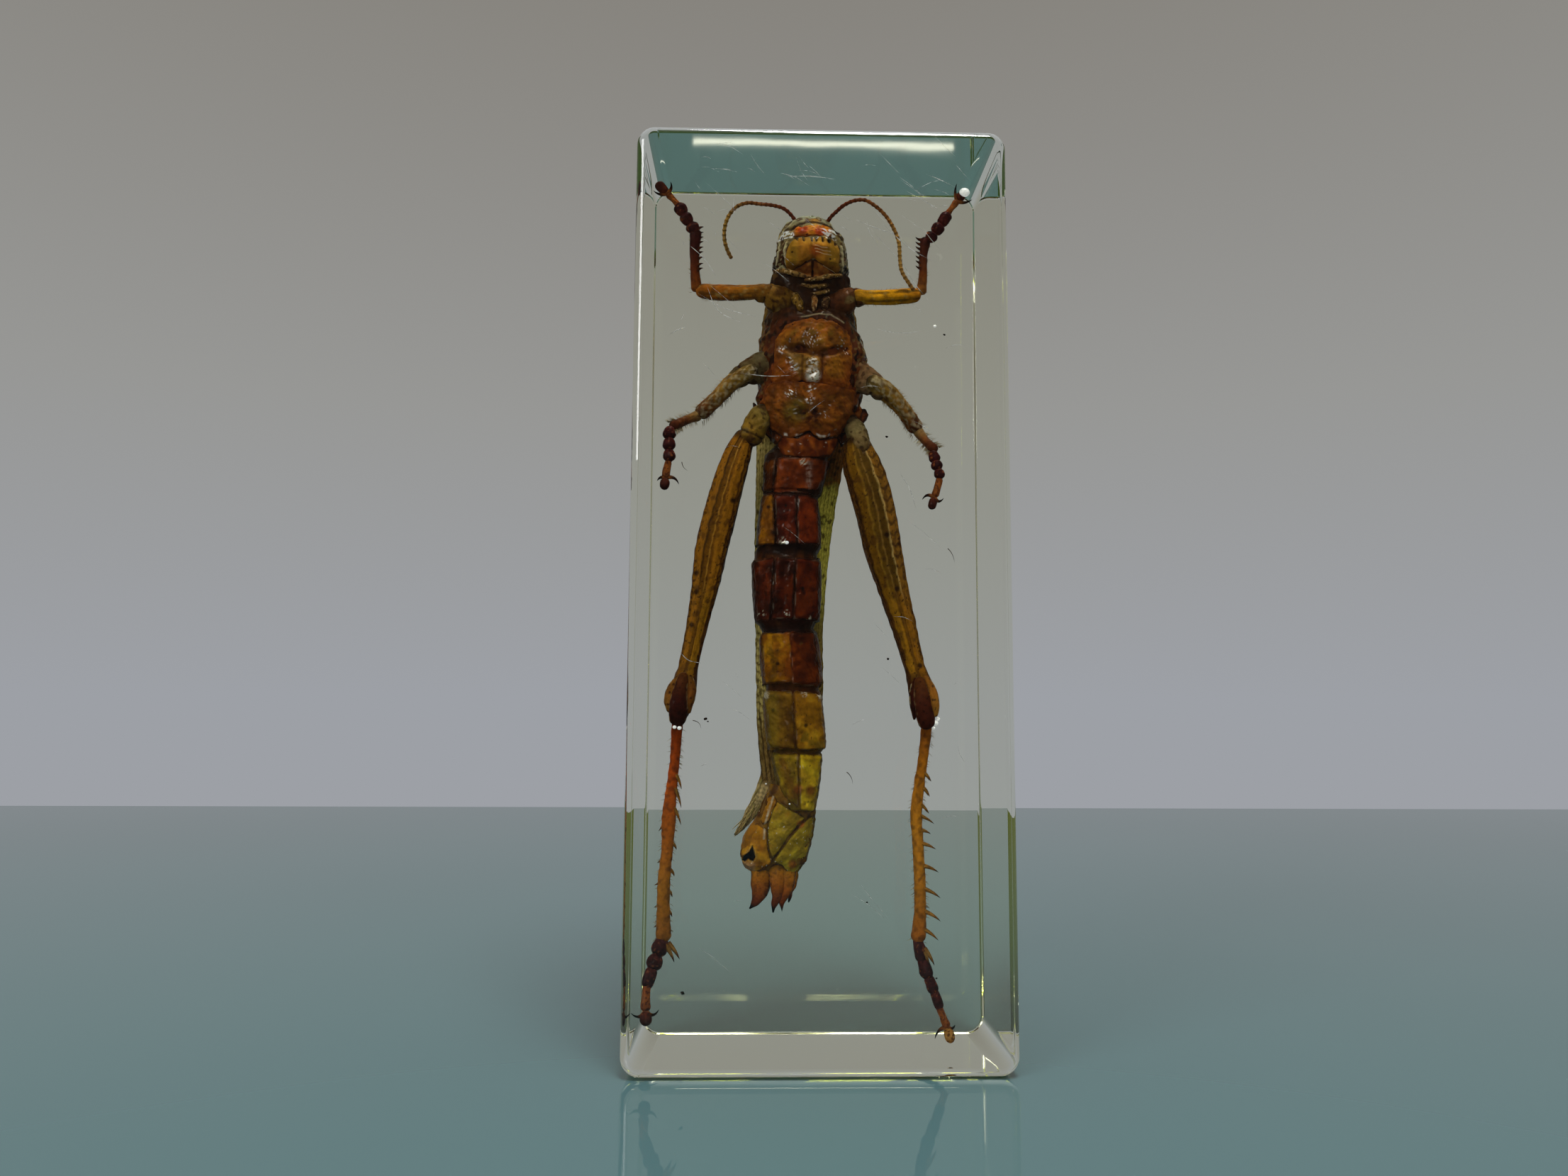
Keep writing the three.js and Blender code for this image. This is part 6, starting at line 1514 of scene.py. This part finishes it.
# Fine scratches: chalky where the polish broke the surface, and partly see-through.
scratch_chalk, tree, place = new_material("chalky_resin_scratch")
grit = add_node(tree, "ShaderNodeTexNoise", {"Vector": place, "Scale": 1 / (0.6 * MM)})
chalk = add_node(tree, "ShaderNodeMix", {
    0: grit.outputs["Fac"], 6: rgba("#b0b0aa"), 7: rgba("#f6f6f2")}, data_type="RGBA")
broken = add_node(tree, "ShaderNodeMapRange", {
    "Value": grit.outputs["Fac"], "From Min": 0.35, "From Max": 0.65, "To Min": 0.12, "To Max": 0.75})
powder = add_node(tree, "ShaderNodeBsdfPrincipled", {
    "Base Color": chalk.outputs[2], "Roughness": 0.7, "Alpha": broken.outputs["Result"]})
add_node(tree, "ShaderNodeOutputMaterial", {"Surface": powder.outputs["BSDF"]})
SCRATCH_DEPTH = -12.9  # y of the scratches, just inside the front face
SCRATCH_HALF_WIDTH = 0.045
FINE_HALF_WIDTH = 0.024
SCRATCH_ROWS = 60
SCRATCHES = [
    [(-14.6, 89.1), (-11.9, 87.5), (-7.5, 86.3)], [(-13, 104.5), (-11.5, 104.4), (-10, 104.1)],
    [(12.2, 104.3), (14, 103.6), (16, 102.6)], [(10.2, 102), (12, 101), (14.3, 99.6)],
    [(-4, 103.7), (-1, 103.7), (1.5, 103.4)], [(-18, 84), (-17, 84.6), (-16, 85)],
    [(-16, 95.2), (-14, 93.4), (-12.4, 91.0)], [(4, 98.4), (7, 97.2), (9.2, 96.6)],
    [(6.0, 85.1), (9.5, 84.6), (12, 84.9)], [(-9.5, 79.5), (-6.0, 79.2), (-3, 79.4)],
    [(-13.6, 90.0), (-12.2, 87.0), (-9.4, 85.6)], [(9.4, 93.6), (10.6, 91.2), (12.6, 88.6)],
    [(7.2, 98.0), (10.4, 95.0), (13.2, 93.4)], [(-16.4, 47.2), (-15.2, 46.0), (-13.4, 45.6)],
    [(9, 68), (10.2, 66), (11, 63.5)]]
FINE_SCRATCHES = 90
ABDOMEN_MIDDLE = -3.3  # x of the lower abdomen
rng = np.random.default_rng(1301)
near_top = rng.random(FINE_SCRATCHES) < 0.45
middle = np.column_stack([rng.uniform(-17, 17, FINE_SCRATCHES), np.where(
    near_top, rng.uniform(95, 108, FINE_SCRATCHES), rng.uniform(8, 100, FINE_SCRATCHES))])
reach = rng.uniform(0.5, 2.2, (FINE_SCRATCHES, 1)) * np.column_stack([
    np.cos(rng.normal(-0.6, 0.6, FINE_SCRATCHES)), np.sin(rng.normal(-0.6, 0.6, FINE_SCRATCHES))])
fine = np.stack([middle - reach, middle + 0.2 * reach[:, ::-1], middle + reach], axis=1)
fine = fine[(np.abs(middle[:, 0] - ABDOMEN_MIDDLE) > 5) | (middle[:, 1] > 60)]  # none over the abdomen
shells = []
for line in [*SCRATCHES, *fine]:
    run = run_through([(x, SCRATCH_DEPTH, z) for x, z in line], SCRATCH_ROWS)
    half = SCRATCH_HALF_WIDTH if len(shells) < len(SCRATCHES) else FINE_HALF_WIDTH
    half = half * np.sin(np.linspace(0.08, np.pi - 0.08, SCRATCH_ROWS))
    grid = ring_points(np.column_stack([run, half, 0.3 * half]), 6, round_ends=(False, False))
    shells.append(closed_shell(grid))
make_piece("front_scratches", shells, scratch_chalk, [])
